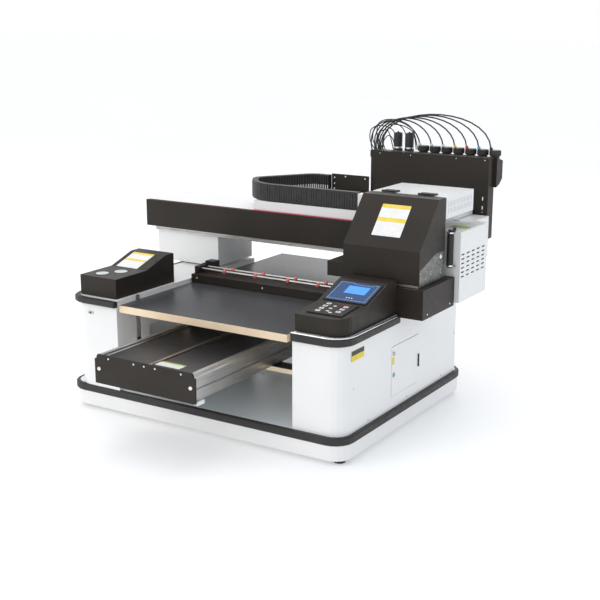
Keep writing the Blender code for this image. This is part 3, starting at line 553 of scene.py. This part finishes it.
def make_screws():
    front, side, top = (0, -1, 0), (1, 0, 0), (0, 0, 1)
    small_module = [(x, -0.276, 0.3155) for x in (-0.767, -0.655, -0.610, -0.563, -0.454)]
    screw_heads("module_screws_small", "lift", front, small_module, 0.0036)
    big_module = [(x, -0.276, 0.2747) for x in (-0.810, -0.415)]
    screw_heads("module_screws_big", "lift", front, big_module, 0.0075)
    carriage_front = [(-0.1017, 0.410, 0.5323), (-0.0816, 0.410, 0.5323)]
    screw_heads("carriage_front_screws", "carriage", front, carriage_front, 0.0034)
    rivets = [
        (0.0605, y, z)
        for y, z in (
            (0.424, 0.5765), (0.431, 0.5611), (0.4533, 0.5935), (0.5079, 0.5719),
            (0.5087, 0.5606), (0.5884, 0.5659), (0.5894, 0.5524), (0.424, 0.5543),
            (0.548, 0.603), (0.470, 0.552), (0.606, 0.592),
        )
    ]
    screw_heads("side_plate_rivets", "carriage", side, rivets, 0.0022)
    screw_heads("side_plate_bolt", "carriage", side, [(0.0605, 0.5849, 0.6125)], 0.0095)
    left_rivets = [(-0.2385, y, z) for _, y, z in rivets if z > 0.59]
    screw_heads("left_plate_rivets", "carriage", (-1, 0, 0), left_rivets, 0.0022)
    station = [(0.088, 0.4317, 0.4345), (0.088, 0.618, 0.4345)]
    screw_heads("station_screws", "root", side, station, 0.0034)
    bracket = [
        (x, 1.035, z)
        for x, z in (
            (-0.647, 0.791), (-0.647, 0.766), (-0.647, 0.745), (-0.5935, 0.798),
            (-0.4998, 0.795),
        )
    ]
    screw_heads("bracket_screws", "root", front, bracket, 0.0036)
    slope, _, out = slope_frame(LEFT_SLOPE)
    shape = Shape()
    dome = [(0.0036, 0.0), (0.0036, 0.001), (0.0026, 0.0018), (0.0004, 0.002)]
    for x in (-1.151, -0.995):
        shape.turned(slope(x, 0.266), out, dome, 12)
    shape.piece("console_screws", "root", "black_paint", FINISHES["black_paint"])
    cabinet_side = [
        (-0.010, y, z)
        for y, z in (
            (0.085, 0.241), (0.189, 0.100), (0.482, 0.100), (0.774, 0.100), (0.885, 0.2447),
            (0.673, 0.353),
        )
    ]
    screw_heads("cabinet_side_screws", "root", side, cabinet_side, 0.0028,
                material=FINISHES["steel"])
    rack = [
        (x, 1.05, z)
        for x, z in (
            (-0.30, 0.905), (-0.10, 0.905), (-0.44, 0.905), (0.022, 0.905), (0.0185, 0.7015),
        )
    ]
    screw_heads("rack_screws", "root", front, rack, 0.0022)
    beam_ends = [(x, 0.6505, 0.5668) for x in (-1.290, -1.262, -0.62, 0.02)]
    screw_heads("rail_bolts", "root", (0, 0, -1), beam_ends, 0.0042)
    post_side = [(0.105, y, z) for y in (0.672, 0.892) for z in (0.675, 0.460)]
    screw_heads("post_screws", "root", side, post_side, 0.0025,
                material=FINISHES["white_paint"])
    rear = [
        (x, 1.045, z)
        for x in (-0.97, -0.66, -0.30, 0.02)
        for z in (0.545, 0.675)
    ]
    screw_heads("rear_housing_screws", "root", (0, 1, 0), rear, 0.0036)
    deck = [(x, y, 0.6928) for x in (-1.31, -0.84) for y in (0.676, 0.885)]
    screw_heads("deck_screws", "root", top, deck, 0.0032)


make_screws()


# Trims


def corner_path(start_x, front_y, side_x, end_y, radius, z):
    """Along a front towards the right, round its corner and back along the side."""
    points = [at(start_x, front_y, z), at((start_x + side_x - radius) / 2, front_y, z)]
    centre = (side_x - radius, front_y + radius)
    for i in range(9):
        angle = math.pi / 2 * (i / 8 - 1)
        points.append(
            at(centre[0] + radius * math.cos(angle), centre[1] + radius * math.sin(angle), z)
        )
    points.append(at(side_x, (centre[1] + end_y) / 2, z))
    points.append(at(side_x, end_y, z))
    return points


BEAD_RADIUS = 0.0026
tube("trim_bead", corner_path(-0.204, 0.0015, 0.0005, 0.372, 0.0765, 0.4286), BEAD_RADIUS,
     "root", CHROME_FINISH, smooth=False)


# Right console: display and keypad


def make_display():
    low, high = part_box("display_panel")
    centre = (low + high) / 2
    _, up, out = slope_frame(RIGHT_SLOPE)
    face = centre + out * 0.0015

    def local(x, y, lift=0.0):
        return face + RIGHT * x + up * y + out * lift

    window = Shape()
    rounded_plate(window, local(0.009, 0.012), RIGHT, up, (0.083, 0.048), 0.0006, 0.002)
    window.piece("display_window", "root", "display", WINDOW_BLUE)
    corners = [
        (-0.073, -0.054), (0.073, -0.054), (0.073, 0.054), (0.060, 0.054), (0.054, 0.046),
        (-0.016, 0.046), (-0.022, 0.054), (-0.073, 0.054), (-0.073, -0.054),
    ]
    outline = Shape()
    for (x0, y0), (x1, y1) in zip(corners, corners[1:]):
        start, end = local(x0, y0, 0.0003), local(x1, y1, 0.0003)
        along = (end - start).normalized()
        length = (end - start).length + 0.0012
        outline.block((start + end) / 2, (along, out.cross(along), out), (length, 0.0014, 0.0005))
    outline.piece("display_outline", "root", "display", OUTLINE_BLUE)
    lights = Shape()
    lamp = [(0.0022, 0.0), (0.0022, 0.0006), (0.001, 0.001)]
    for x in (-0.004, 0.006, 0.016):
        lights.turned(local(x, -0.040), out, lamp, 12)
    lights.piece("display_lights", "root", "key_white", LED_WHITE)
    bezel = Shape()
    half = (0.0825, 0.0635)
    for x, y, size in (
        (0, half[1], (2 * half[0] + 0.004, 0.004)),
        (0, -half[1], (2 * half[0] + 0.004, 0.004)),
        (half[0], 0, (0.004, 2 * half[1] - 0.0042)),
        (-half[0], 0, (0.004, 2 * half[1] - 0.0042)),
    ):
        bezel.block(local(x, y, -0.0012), (RIGHT, up, out), (*size, 0.0042), 0.001)
    bezel.piece("display_bezel", "root", "black_paint", FINISHES["black_paint"])


make_display()


def make_keypad_marks():
    low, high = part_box("keypad_plate")
    _, up, out = slope_frame(RIGHT_FLAT)
    face = (low + high) / 2 + out * 0.0021

    def local(x, y):
        return face + RIGHT * x + up * y

    marks = Shape()
    for x, y in ((-0.004, 0.022), (-0.006, -0.004), (-0.003, -0.030), (0.013, -0.040)):
        rounded_plate(marks, local(x, y), RIGHT, up, (0.013, 0.0085), 0.0005, 0.003)
    marks.piece("keypad_marks", "root", "key_white", FINISHES["key_white"])
    red = Shape()
    for x in (-0.002, 0.012, 0.026, 0.040):
        rounded_plate(red, local(x, 0.047), RIGHT, up, (0.008, 0.0035), 0.0005, 0.0012)
    red.piece("keypad_red_marks", "root", "key_white", COLLARS["red"])
    for name, (key_low, key_high) in ((f"key_{i}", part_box(f"key_{i}")) for i in range(1, 8)):
        centre = (key_low + key_high) / 2
        bar = Shape()
        top = centre + out * ((key_high.z - key_low.z) / 2 - 0.0002)
        rounded_plate(bar, top, RIGHT, up, (0.0075, 0.0022), 0.0004, 0.0008)
        bar.piece(name + "_mark", name + "_cap", "key_white", FINISHES["tube_black"])


make_keypad_marks()


# Left console discs


def ring_piece(name, body, slot, material, centre, profile, steps=32):
    """A closed ring: the profile's (radius, height) corners, swept round the upright axis."""
    ring = Shape()
    corners = len(profile)
    for i in range(steps):
        angle = 2 * math.pi * i / steps
        turn = Vector((math.cos(angle), math.sin(angle), 0))
        ring.points.extend(centre + turn * radius + UP * height for radius, height in profile)
        start, after = i * corners, ((i + 1) % steps) * corners
        for k in range(corners):
            beside = (k + 1) % corners
            ring.faces.append((start + k, after + k, after + beside, start + beside))
    ring.piece(name, body, slot, material)


DISC_RING = ((0.0215, -0.0006), (0.0215, 0.0006), (0.0175, 0.0006), (0.0175, -0.0006))
DISC_COLLAR = ((0.0292, 0.0), (0.0288, 0.0010), (0.0262, 0.0010), (0.0259, 0.0))
CONSOLE_TOP = 0.5072


def make_disc_rings():
    for end in ("front", "rear"):
        low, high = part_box(f"console_button_{end}")
        centre = Vector(((low.x + high.x) / 2, (low.y + high.y) / 2, high.z))
        ring_piece(f"button_ring_{end}", f"button_{end}", "button_grey", LED_RING, centre,
                   DISC_RING)
        base = Vector((centre.x, centre.y, at(0, 0, CONSOLE_TOP).z))
        ring_piece(f"button_collar_{end}", "root", "black_paint", FINISHES["black_paint"], base,
                   DISC_COLLAR)


LED_RING = plain("disc_ring", (0.80, 0.84, 0.80), (0.25, 0.35), coat=0.3)
make_disc_rings()


# Y module


def make_module_details():
    middle = -0.613
    rails = Shape()
    for side in (-1, 1):
        rails.turned(at(middle + side * 0.1985, -0.2700, 0.3165), BACK,
                     [(0.0042, 0.0), (0.0042, 1.398)], 16)
    rails.piece("module_rails", "lift", "steel", CHROME_FINISH, smooth=False)
    strip = Shape()
    strip.block(at(middle - 0.009, 0.43, 0.3080), (RIGHT, BACK, UP), (0.008, 1.38, 0.003), 0.0005)
    tan = plain("tan_metal", (0.62, 0.48, 0.36), (0.25, 0.4), 0.7)
    strip.piece("module_scale", "lift", "aluminium", tan)
    sign = Shape()
    rounded_plate(sign, at(-0.5505, -0.2130, 0.3123), RIGHT, BACK, (0.104, 0.034), 0.0005, 0.002)
    sign.piece("module_sign", "lift", "key_white", FINISHES["key_white"])
    edge = Shape()
    rounded_plate(edge, at(-0.5505, -0.1900, 0.3123), RIGHT, BACK, (0.104, 0.010), 0.0005, 0.002)
    edge.piece("module_sign_edge", "lift", "key_white", SIGN_GREEN)
    foot = Shape()
    foot.block(at(-0.4065, -0.2440, 0.2186), (RIGHT, BACK, UP), (0.018, 0.036, 0.0128), 0.0)
    foot.piece("module_stop", "lift", "white_paint", FINISHES["white_paint"])
    lines = Shape()
    for side in (-1, 1):
        for z in (0.2380, 0.2520, 0.2950):
            place = at(middle + side * 0.2132, 0.43, z)
            lines.block(place, (BACK, UP, RIGHT * side), (1.38, 0.0016, 0.0006))
    lines.piece("module_profile_lines", "lift", "aluminium", FINISHES["steel"])


make_module_details()


# Beam strip


def make_red_strip():
    shape = Shape()
    shape.block(at(-0.4000, 0.6467, 0.6947), (RIGHT, BACK, UP), (0.800, 0.0130, 0.0030), 0.0006)
    shape.block(at(-1.0700, 0.6520, 0.6938), (RIGHT, BACK, UP), (0.530, 0.0035, 0.0012), 0.0)
    shape.piece("beam_red_strip", "root", "black_paint", DARK_RED)


make_red_strip()


# Right post, damper, door


def make_right_side():
    # A dark sheet behind the post's vent openings: painted shade inside the vents.
    shade_sheet = Shape()
    shade_sheet.block(at(0.0985, 0.7775, 0.5700), (BACK, UP, RIGHT), (0.222, 0.110, 0.002))
    shade_sheet.piece("vent_shade_sheet", "root", "white_paint", FINISHES["tube_black"])
    slot = Shape()
    rounded_plate(slot, at(-0.010, 0.8700, 0.6929), RIGHT, BACK, (0.030, 0.009), 0.0005, 0.0035)
    slot.piece("post_slot", "root", "tube_black", FINISHES["tube_black"])
    sign = Shape()
    rounded_plate(sign, at(0.0600, 0.7550, 0.6929), RIGHT, BACK, (0.070, 0.042), 0.0005, 0.002)
    sign.piece("post_sign", "root", "key_white", SIGN_GREEN)
    knob = Shape()
    cap = [(0.0105, 0.0), (0.0105, 0.002), (0.009, 0.003)]
    knob.turned(at(0.070, 0.6465, 0.6972), UP, cap, 24)
    stem = [(0.003, 0.0), (0.003, 0.006), (0.0062, 0.007), (0.0062, 0.015), (0.005, 0.0165)]
    knob.turned(at(0.0835, 0.6515, 0.6930), UP, stem, 16)
    knob.block(at(0.077, 0.6490, 0.6945), (RIGHT, BACK, UP), (0.016, 0.006, 0.004))
    knob.piece("damper_knob", "root", "black_rubber", FINISHES["tube_black"])
    dot = Shape()
    disc = [(0.0055, 0.0), (0.0055, 0.0012), (0.004, 0.0018)]
    dot.turned(at(0.070, 0.6465, 0.7003), UP, disc, 18)
    dot.piece("damper_dot", "root", "black_rubber", COLLARS["red"])
    clips = Shape()
    for z in (0.566, 0.688):
        clips.turned(at(0.070, 0.6465, z), UP, [(0.0128, 0.0), (0.0128, 0.005)], 24)
    clips.block(at(0.088, 0.6490, 0.5690), (RIGHT, BACK, UP), (0.014, 0.010, 0.006), 0.001)
    clips.piece("damper_clips", "root", "steel", CHROME_FINISH)
    yellow = Shape()
    rounded_plate(yellow, at(-0.0092, 0.3695, 0.2640), BACK, UP, (0.018, 0.026), 0.0005, 0.0015)
    yellow.piece("door_sign", "door", "key_white", SIGN_YELLOW)
    round_sign = Shape()
    disc = [(0.0105, 0.0), (0.0105, 0.0005), (0.0098, 0.0006)]
    round_sign.turned(at(-0.0092, 0.3745, 0.2110), RIGHT, disc, 28)
    round_sign.piece("door_dot_rim", "door", "key_white", FINISHES["key_white"])
    blue = Shape()
    disc = [(0.0085, 0.0), (0.0085, 0.0005), (0.0078, 0.0007)]
    blue.turned(at(-0.0086, 0.3745, 0.2110), RIGHT, disc, 28)
    blue.piece("door_dot", "door", "key_white", COLLARS["cyan"])
    plate = Shape()
    rounded_plate(plate, at(-0.0097, 0.1117, 0.3569), BACK, UP, (0.0857, 0.0365), 0.0005, 0.002)
    plate.piece("cabinet_sign", "root", "key_white", SIGN_YELLOW)
    head = Shape()
    rounded_plate(head, at(-0.0093, 0.1117, 0.3665), BACK, UP, (0.0845, 0.0160), 0.0003, 0.0015)
    head.piece("cabinet_sign_head", "root", "key_white", FINISHES["tube_black"])
    lock = Shape()
    lock_low, lock_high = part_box("door_lock")
    face = Vector((lock_high.x, (lock_low.y + lock_high.y) / 2, (lock_low.z + lock_high.z) / 2))
    lock.block(face, (UP, BACK, RIGHT), (0.009, 0.0016, 0.0008))
    lock.piece("door_lock_slot", "lock", "steel", FINISHES["tube_black"])
    hinge = Shape()
    for z, length in ((0.192, 0.015), (0.2085, 0.015), (0.225, 0.015)):
        hinge.turned(at(-0.0075, 0.5690, z), UP, [(0.0034, 0.0), (0.0034, length)], 14)
    hinge.piece("door_hinge_barrels", "root", "steel", FINISHES["tube_black"])
    key_lock = Shape()
    place = at(-1.096, -0.0001, 0.3720)
    rounded_plate(key_lock, place, RIGHT, UP, (0.030, 0.011), 0.0022, 0.0053, 6)
    key_lock.piece("cabinet_lock", "root", "steel", FINISHES["steel"])
    cylinder = Shape()
    cylinder.turned(at(-1.096, -0.0022, 0.3720), -BACK, [(0.0038, 0.0), (0.0038, 0.0016)], 16)
    cylinder.piece("cabinet_lock_core", "root", "steel", FINISHES["tube_black"])


make_right_side()


# Vertical slots in the rear cover's sides, and in the rear housing


def make_slots():
    cover = Shape()
    for i in range(17):
        y = 0.640 + 0.0125 * i
        for z in (0.7700, 0.7940):
            rounded_plate(cover, at(0.0614, y, z), BACK, UP, (0.0022, 0.020), 0.0004, 0.0010)
            rounded_plate(cover, at(-0.2394, y, z), -BACK, UP, (0.0022, 0.020), 0.0004, 0.0010)
    cover.piece("cover_slots", "carriage", "white_paint", plain("slot_shade", (0.42, 0.44, 0.47)))
    # Black plates on the rear housing's vent slots: painted shade in the openings.
    rear = Shape()
    for middle in (-0.78, -0.15):
        for row in range(6):
            for column in range(4):
                place = at(middle + 0.045 * (column - 1.5), 1.0449, 0.575 + 0.014 * row)
                rounded_plate(rear, place, -RIGHT, UP, (0.034, 0.005), 0.0006, 0.0024)
    rear.piece("rear_vent_shade", "root", "white_paint", FINISHES["tube_black"])
    rack = Shape()
    for z in (0.7550, 0.7190, 0.6820):
        rounded_plate(rack, at(0.0187, 1.0501, z), RIGHT, UP, (0.0045, 0.0150), 0.0010, 0.0020)
    rack.piece("rack_slots", "root", "key_white", FINISHES["key_white"])


make_slots()


# Posts


def make_post_covers():
    """Sheets over the posts' open backs, beside the rear housing."""
    housing_low, housing_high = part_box("rear_housing")
    for side in ("left", "right"):
        low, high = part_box(side + "_post")
        x0, x1 = low.x + 0.003, high.x - 0.003
        if side == "left":
            x1 = housing_low.x - 0.003
        else:
            x0 = housing_high.x + 0.003
        cover = Shape()
        centre = Vector(((x0 + x1) / 2, high.y - 0.0014, (low.z + high.z) / 2))
        size = (x1 - x0, high.z - low.z - 0.006)
        rounded_plate(cover, centre, -RIGHT, UP, size, 0.0012, 0.003)
        cover.piece(side + "_post_cover", "root", "white_paint", FINISHES["white_paint"])


make_post_covers()


# Rollers' rings and the rotary frame


# Rings on the rollers: (radius, distance along x). A roller has an end, its y and a shift in x.
RING_PROFILE = [
    (0.0072, 0.0), (0.0094, 0.0016), (0.0100, 0.004), (0.0100, 0.009), (0.0094, 0.0114),
    (0.0072, 0.013),
]
RING_XS = (-0.828, -0.680, -0.530, -0.394)
RING_LENGTH = 0.013
ROLLERS = (("front", 0.490, 0.0), ("rear", 0.530, 0.011))
ROLLER_Z = 0.4665


def make_rotary_details():
    for end, y, shift in ROLLERS:
        rings = Shape()
        for x in RING_XS:
            low = at(x + shift - RING_LENGTH / 2, y, ROLLER_Z)
            rings.turned(low, RIGHT, RING_PROFILE, 24)
        rings.piece(f"roller_rings_{end}", f"roller_{end}", "black_rubber", RING_RED, smooth=True)
    screws = [(-0.9354, 0.447, 0.4360), (-0.62, 0.447, 0.4340), (-0.31, 0.447, 0.4340)]
    screw_heads("rotary_screws", "bed_slider", (0, -1, 0), screws, 0.0036)
    knob = Shape()
    for y, radius in ((0.555, 0.012), (0.512, 0.011)):
        boss = [(radius, 0.0), (radius, 0.0016), (radius - 0.002, 0.0024)]
        knob.turned(at(-0.9592, y, 0.4680), -RIGHT, boss, 20)
    place = at(-0.9592, 0.5335, 0.4680)
    rounded_plate(knob, place, -BACK, UP, (0.068, 0.025), 0.0010, 0.0122, 6)
    knob.piece("rotary_pulley_cover", "bed_slider", "steel", FINISHES["tube_black"])


make_rotary_details()


# Cable chain

PITCH = 0.0116
MOVING_GROUPS = 11
CHAIN_Z = (0.7337, 0.8030)
CHAIN_THICK = 0.026
# The bend's middle in plan: (length, clockwise turn in degrees) after its start
BEND_START = (-0.711, 0.668)
BEND_RUNS = ((0.178, 60.0), (0.030, 0.0), (0.050, 63.6), (0.2085, 0.0), (0.0492, 56.4))


def chain_piece(name, stations, body, replaced):
    """Links as closed frames: side plates above and below, a bar outside and one inside.
    stations are (centre, forward, outward)."""
    shape = Shape()
    pins = Shape()
    low, high = (DATUM.z + z for z in CHAIN_Z)
    middle, height = (low + high) / 2, high - low
    plate = 0.0045
    for centre, forward, outward in stations:
        centre = Vector((centre.x, centre.y, middle))
        for side in (-1, 1):
            place = centre + UP * (side * (height - plate) / 2)
            shape.block(place, (forward, outward, UP * side),
                        (PITCH * 0.93, CHAIN_THICK - 0.002, plate), 0.0012)
        outer = centre + outward * (CHAIN_THICK / 2 - 0.0017)
        shape.block(outer, (forward, UP, outward), (PITCH * 0.90, height - 0.006, 0.0034), 0.0008)
        inner = centre - outward * (CHAIN_THICK / 2 - 0.0017)
        inner_size = (PITCH * 0.50, height - 0.010, 0.0034)
        shape.block(inner, (forward, UP, -outward), inner_size, 0.0008)
        pin = centre - outward * (CHAIN_THICK / 2) - UP * (height * 0.22)
        pins.block(pin, (forward, UP, -outward), (0.0036, 0.0150, 0.0012), 0.0006)
    core = Shape()
    inside = height - 0.012
    rings = []
    first, last = stations[0], stations[-1]
    reach = PITCH * 0.47
    core_stations = [(first[0] - first[1] * reach, *first[1:])] + stations[1:-1]
    core_stations.append((last[0] + last[1] * reach, *last[1:]))
    for centre, forward, outward in core_stations:
        centre = Vector((centre.x, centre.y, middle))
        ring = [
            centre + outward * (a * (CHAIN_THICK / 2 - 0.0052)) + UP * (b * inside / 2)
            for a, b in ((-1, -1), (1, -1), (1, 1), (-1, 1))
        ]
        rings.append(ring)
    core.hull(rings)
    links = shape.piece(name + "_links", None, "tube_black", FINISHES["tube_black"])
    bundle = core.piece(name + "_cables", None, "tube_black", FINISHES["black_rubber"])
    dots = pins.piece(name + "_pins", None, "tube_black", FINISHES["key_white"])
    if replaced:
        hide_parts(replaced)
    made = (links, bundle, dots)
    if body:
        for piece in made:
            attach(piece, body)
    return made


def bend_stations():
    """Stations one pitch apart along the bend."""
    length = sum(run for run, turn in BEND_RUNS)
    steps = 400
    travel = Vector(BEND_START)
    heading = math.pi
    line = []
    for run, turn in BEND_RUNS:
        parts = round(steps * run / length)
        for _ in range(parts):
            heading -= math.radians(turn) / parts / 2
            line.append((travel.copy(), heading))
            travel += run / parts * Vector((math.cos(heading), math.sin(heading)))
            heading -= math.radians(turn) / parts / 2
    count = round(length / PITCH)
    stations = []
    for i in range(count):
        place, heading = line[int((i + 0.5) / count * len(line))]
        forward = Vector((math.cos(heading), math.sin(heading), 0))
        stations.append((at(*place, 0), forward, UP.cross(forward)))
    return stations


def make_chain():
    moving_low, moving_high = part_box("chain_moving_run")
    fixed_low, fixed_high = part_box("chain_fixed_run")

    def straight(x0, x1, y, outward):
        count = round((x1 - x0) / PITCH)
        step = (x1 - x0) / count
        return [(Vector((x0 + step * (i + 0.5), y, 0)), RIGHT, outward) for i in range(count)]

    front_y = (moving_low.y + moving_high.y) / 2
    run = straight(moving_low.x, moving_high.x, front_y, -BACK)
    for number in range(MOVING_GROUPS):
        first = len(run) * number // MOVING_GROUPS
        last = len(run) * (number + 1) // MOVING_GROUPS
        group = chain_piece(
            f"chain_moving_{number + 1}", run[first:last], None,
            "chain_moving_run" if number == 0 else None,
        )
        # The bend's end goes half as far as the carriage; the moving run's links are baked where
        # they stand and put on no body.
        for piece in group:
            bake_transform(piece)
    bend = bend_stations()
    chain_piece("chain_bend", bend, "chain_loop", "chain_bend")
    back_y = (fixed_low.y + fixed_high.y) / 2
    fixed = straight(fixed_low.x, fixed_high.x, back_y, BACK)
    chain_piece("chain_fixed", fixed, "root", "chain_fixed_run")


make_chain()


# Ink rack


BOTTLE_SPACING = 0.052
FIRST_MOTOR_X = -0.400
BOTTLE_SHIFT = 0.014
COLLAR_SHIFT = 0.018
COLLAR_COLOURS = ("white", "white", "white", "yellow", "red", "cyan", "black")
MOTOR_COUNT = 2
# Each pump tube's (x, z) points
PUMP_TUBES = (
    (
        (-0.507, 0.900), (-0.536, 0.942), (-0.530, 0.992),
        (-0.480, 1.008), (-0.425, 0.990), (-0.401, 0.930),
    ),
    (
        (-0.500, 0.900), (-0.526, 0.950), (-0.512, 1.004),
        (-0.450, 1.026), (-0.384, 1.002), (-0.353, 0.930),
    ),
    (
        (-0.493, 0.900), (-0.508, 0.944), (-0.488, 0.984), (-0.452, 0.984), (-0.428, 0.915),
    ),
    (
        (-0.486, 0.900), (-0.496, 0.950), (-0.460, 1.006),
        (-0.394, 1.012), (-0.340, 0.984), (-0.323, 0.915),
    ),
    (
        (-0.479, 0.900), (-0.512, 0.966), (-0.500, 1.020),
        (-0.430, 1.034), (-0.350, 1.004), (-0.317, 0.915),
    ),
    (
        (-0.472, 0.900), (-0.484, 0.936), (-0.462, 0.966), (-0.438, 0.954), (-0.426, 0.915),
    ),
)


def make_ink_details():
    y = 1.131
    caps = Shape()
    for number, colour in enumerate(COLLAR_COLOURS):
        x = FIRST_MOTOR_X + BOTTLE_SPACING * (number + MOTOR_COUNT) + BOTTLE_SHIFT
        ring_points = []
        steps = 56
        for k in range(steps):
            angle = 2 * math.pi * k / steps
            radius = 0.0232 if k % 2 else 0.0221
            ring_points.append((radius * math.cos(angle), radius * math.sin(angle)))
        rings = [
            [at(x + a, y + b, z) for a, b in ring_points] for z in (0.9180, 0.9345)
        ]
        caps.hull(rings)
        collar = Shape()
        profile = [(0.0068, 0.0), (0.0068, 0.005), (0.0052, 0.0065), (0.0052, 0.0095)]
        collar.turned(at(x - COLLAR_SHIFT, y, 0.9384), UP, profile, 18)
        collar.piece(f"bottle_collar_{number + 1}", "root", "tube_black", COLLARS[colour])
    caps.piece("cap_ribs", "root", "tube_black", FINISHES["tube_black"])
    bases = Shape()
    tops = Shape()
    for i in range(MOTOR_COUNT):
        x = FIRST_MOTOR_X + BOTTLE_SPACING * i
        bases.turned(at(x, y, 0.9206), UP, [(0.0188, 0.0), (0.0188, 0.0065)], 28)
        cap = [(0.0105, 0.0), (0.0105, 0.0015), (0.0035, 0.0018), (0.0035, 0.0055)]
        tops.turned(at(x, y, 0.9842), UP, cap, 20)
        for level in (0.941, 0.951, 0.961):
            tops.turned(at(x, y, level), UP, [(0.0186, 0.0), (0.0186, 0.0022)], 28)
    bases.piece("motor_bases", "root", "steel", CHROME_FINISH)
    tops.piece("motor_tops", "root", "tube_black", FINISHES["black_rubber"])
    for number, places in enumerate(PUMP_TUBES, 1):
        depth = 1.138 + 0.004 * number
        points = [at(x, depth - 0.010 * k / len(places), z) for k, (x, z) in enumerate(places)]
        tube(f"pump_tube_{number}", smooth_path(points), 0.0021, "root",
             FINISHES["black_rubber"])


make_ink_details()


def make_rack_end():
    """The folded end plate that closes the gap between the rack's side and its shelf."""
    outline = ((1.098, 0.796), (1.098, 0.913), (1.156, 0.897), (1.156, 0.826), (1.130, 0.806))
    shape = Shape()
    shape.hull([[at(x, y, z) for y, z in outline] for x in (0.0403, 0.0535)])
    shape.piece("rack_end_plate", "root", "black_paint", FINISHES["black_paint"])


make_rack_end()


# Floor and light


FLOOR_REACH = 60.0
FLOOR_GLOW = 0.20


def make_stage():
    floor_z = CAD_BOX[0].z - 0.0005
    reach = FLOOR_REACH
    corners = ((-reach, -reach), (reach, -reach), (reach, reach), (-reach, reach))
    points = [Vector((x, y, floor_z)) for x, y in corners]
    mesh = bpy.data.meshes.new("floor")
    mesh.from_pydata([tuple(p) for p in points], [], [(0, 1, 2, 3)])
    plane = bpy.data.objects.new("floor", mesh)
    bpy.context.scene.collection.objects.link(plane)
    paper = look((0.90, 0.90, 0.90), (0.93, 0.93, 0.93), (0.75, 0.9), patch=0.6, depth=0.0)
    mesh.materials.append(finish("floor_paper", paper, glow=FLOOR_GLOW))


def area_light(name, place, target, size, power, colour):
    data = bpy.data.lights.new(name, "AREA")
    data.shape = "DISK"
    data.size = size
    data.energy = power
    data.color = colour
    lamp = bpy.data.objects.new(name, data)
    bpy.context.scene.collection.objects.link(lamp)
    lamp.location = place
    aim = Vector(target) - Vector(place)
    lamp.rotation_euler = aim.to_track_quat("-Z", "Y").to_euler()


def make_lights():
    warm, cool, plain_white = (1.0, 0.975, 0.94), (0.90, 0.95, 1.0), (1.0, 1.0, 1.0)
    area_light("key", (-2.2, -4.2, 3.0), (0, 0, 0.5), 2.6, 38.0, warm)
    area_light("side", (4.6, -0.8, 2.0), (0, 0, 0.5), 2.4, 4.0, cool)
    area_light("top", (-0.4, 0.6, 4.4), (0, 0, 0.3), 3.6, 38.0, plain_white)
    area_light("rear", (-1.5, 4.5, 2.6), (0, 0, 0.6), 2.6, 15.0, plain_white)
    world = bpy.data.worlds.new("studio")
    bpy.context.scene.world = world
    world.use_nodes = True
    tree = world.node_tree
    tree.nodes.clear()
    direction = add(tree, "TexCoord").outputs["Generated"]
    height = add(tree, "SeparateXYZ", {0: direction}).outputs[2]
    factor = add(tree, "MapRange", {"Value": height, 1: 0.0, 2: 0.9, 3: 0.0, 4: 1.0}).outputs[0]
    sky = mix_colour(tree, factor, (1.0, 1.0, 1.0, 1.0), (0.93, 0.95, 0.99, 1.0))
    side = add(tree, "SeparateXYZ", {0: direction}).outputs[0]
    shade = add(tree, "MapRange", {"Value": side, 1: 0.2, 2: 1.0, 3: 0.0, 4: 1.0}).outputs[0]
    above = add(tree, "MapRange", {"Value": height, 1: 0.02, 2: 0.14, 3: 0.0, 4: 1.0}).outputs[0]
    shade = maths(tree, "MULTIPLY", shade, above)
    sky = mix_colour(tree, shade, sky, (0.38, 0.45, 0.54, 1.0))
    background = add(tree, "Background", {"Color": sky, "Strength": 1.0})
    output = add(tree, "OutputWorld")
    tree.links.new(background.outputs[0], output.inputs["Surface"])
    bpy.context.scene.view_settings.view_transform = "Standard"


make_stage()
make_lights()

bpy.context.view_layer.update()
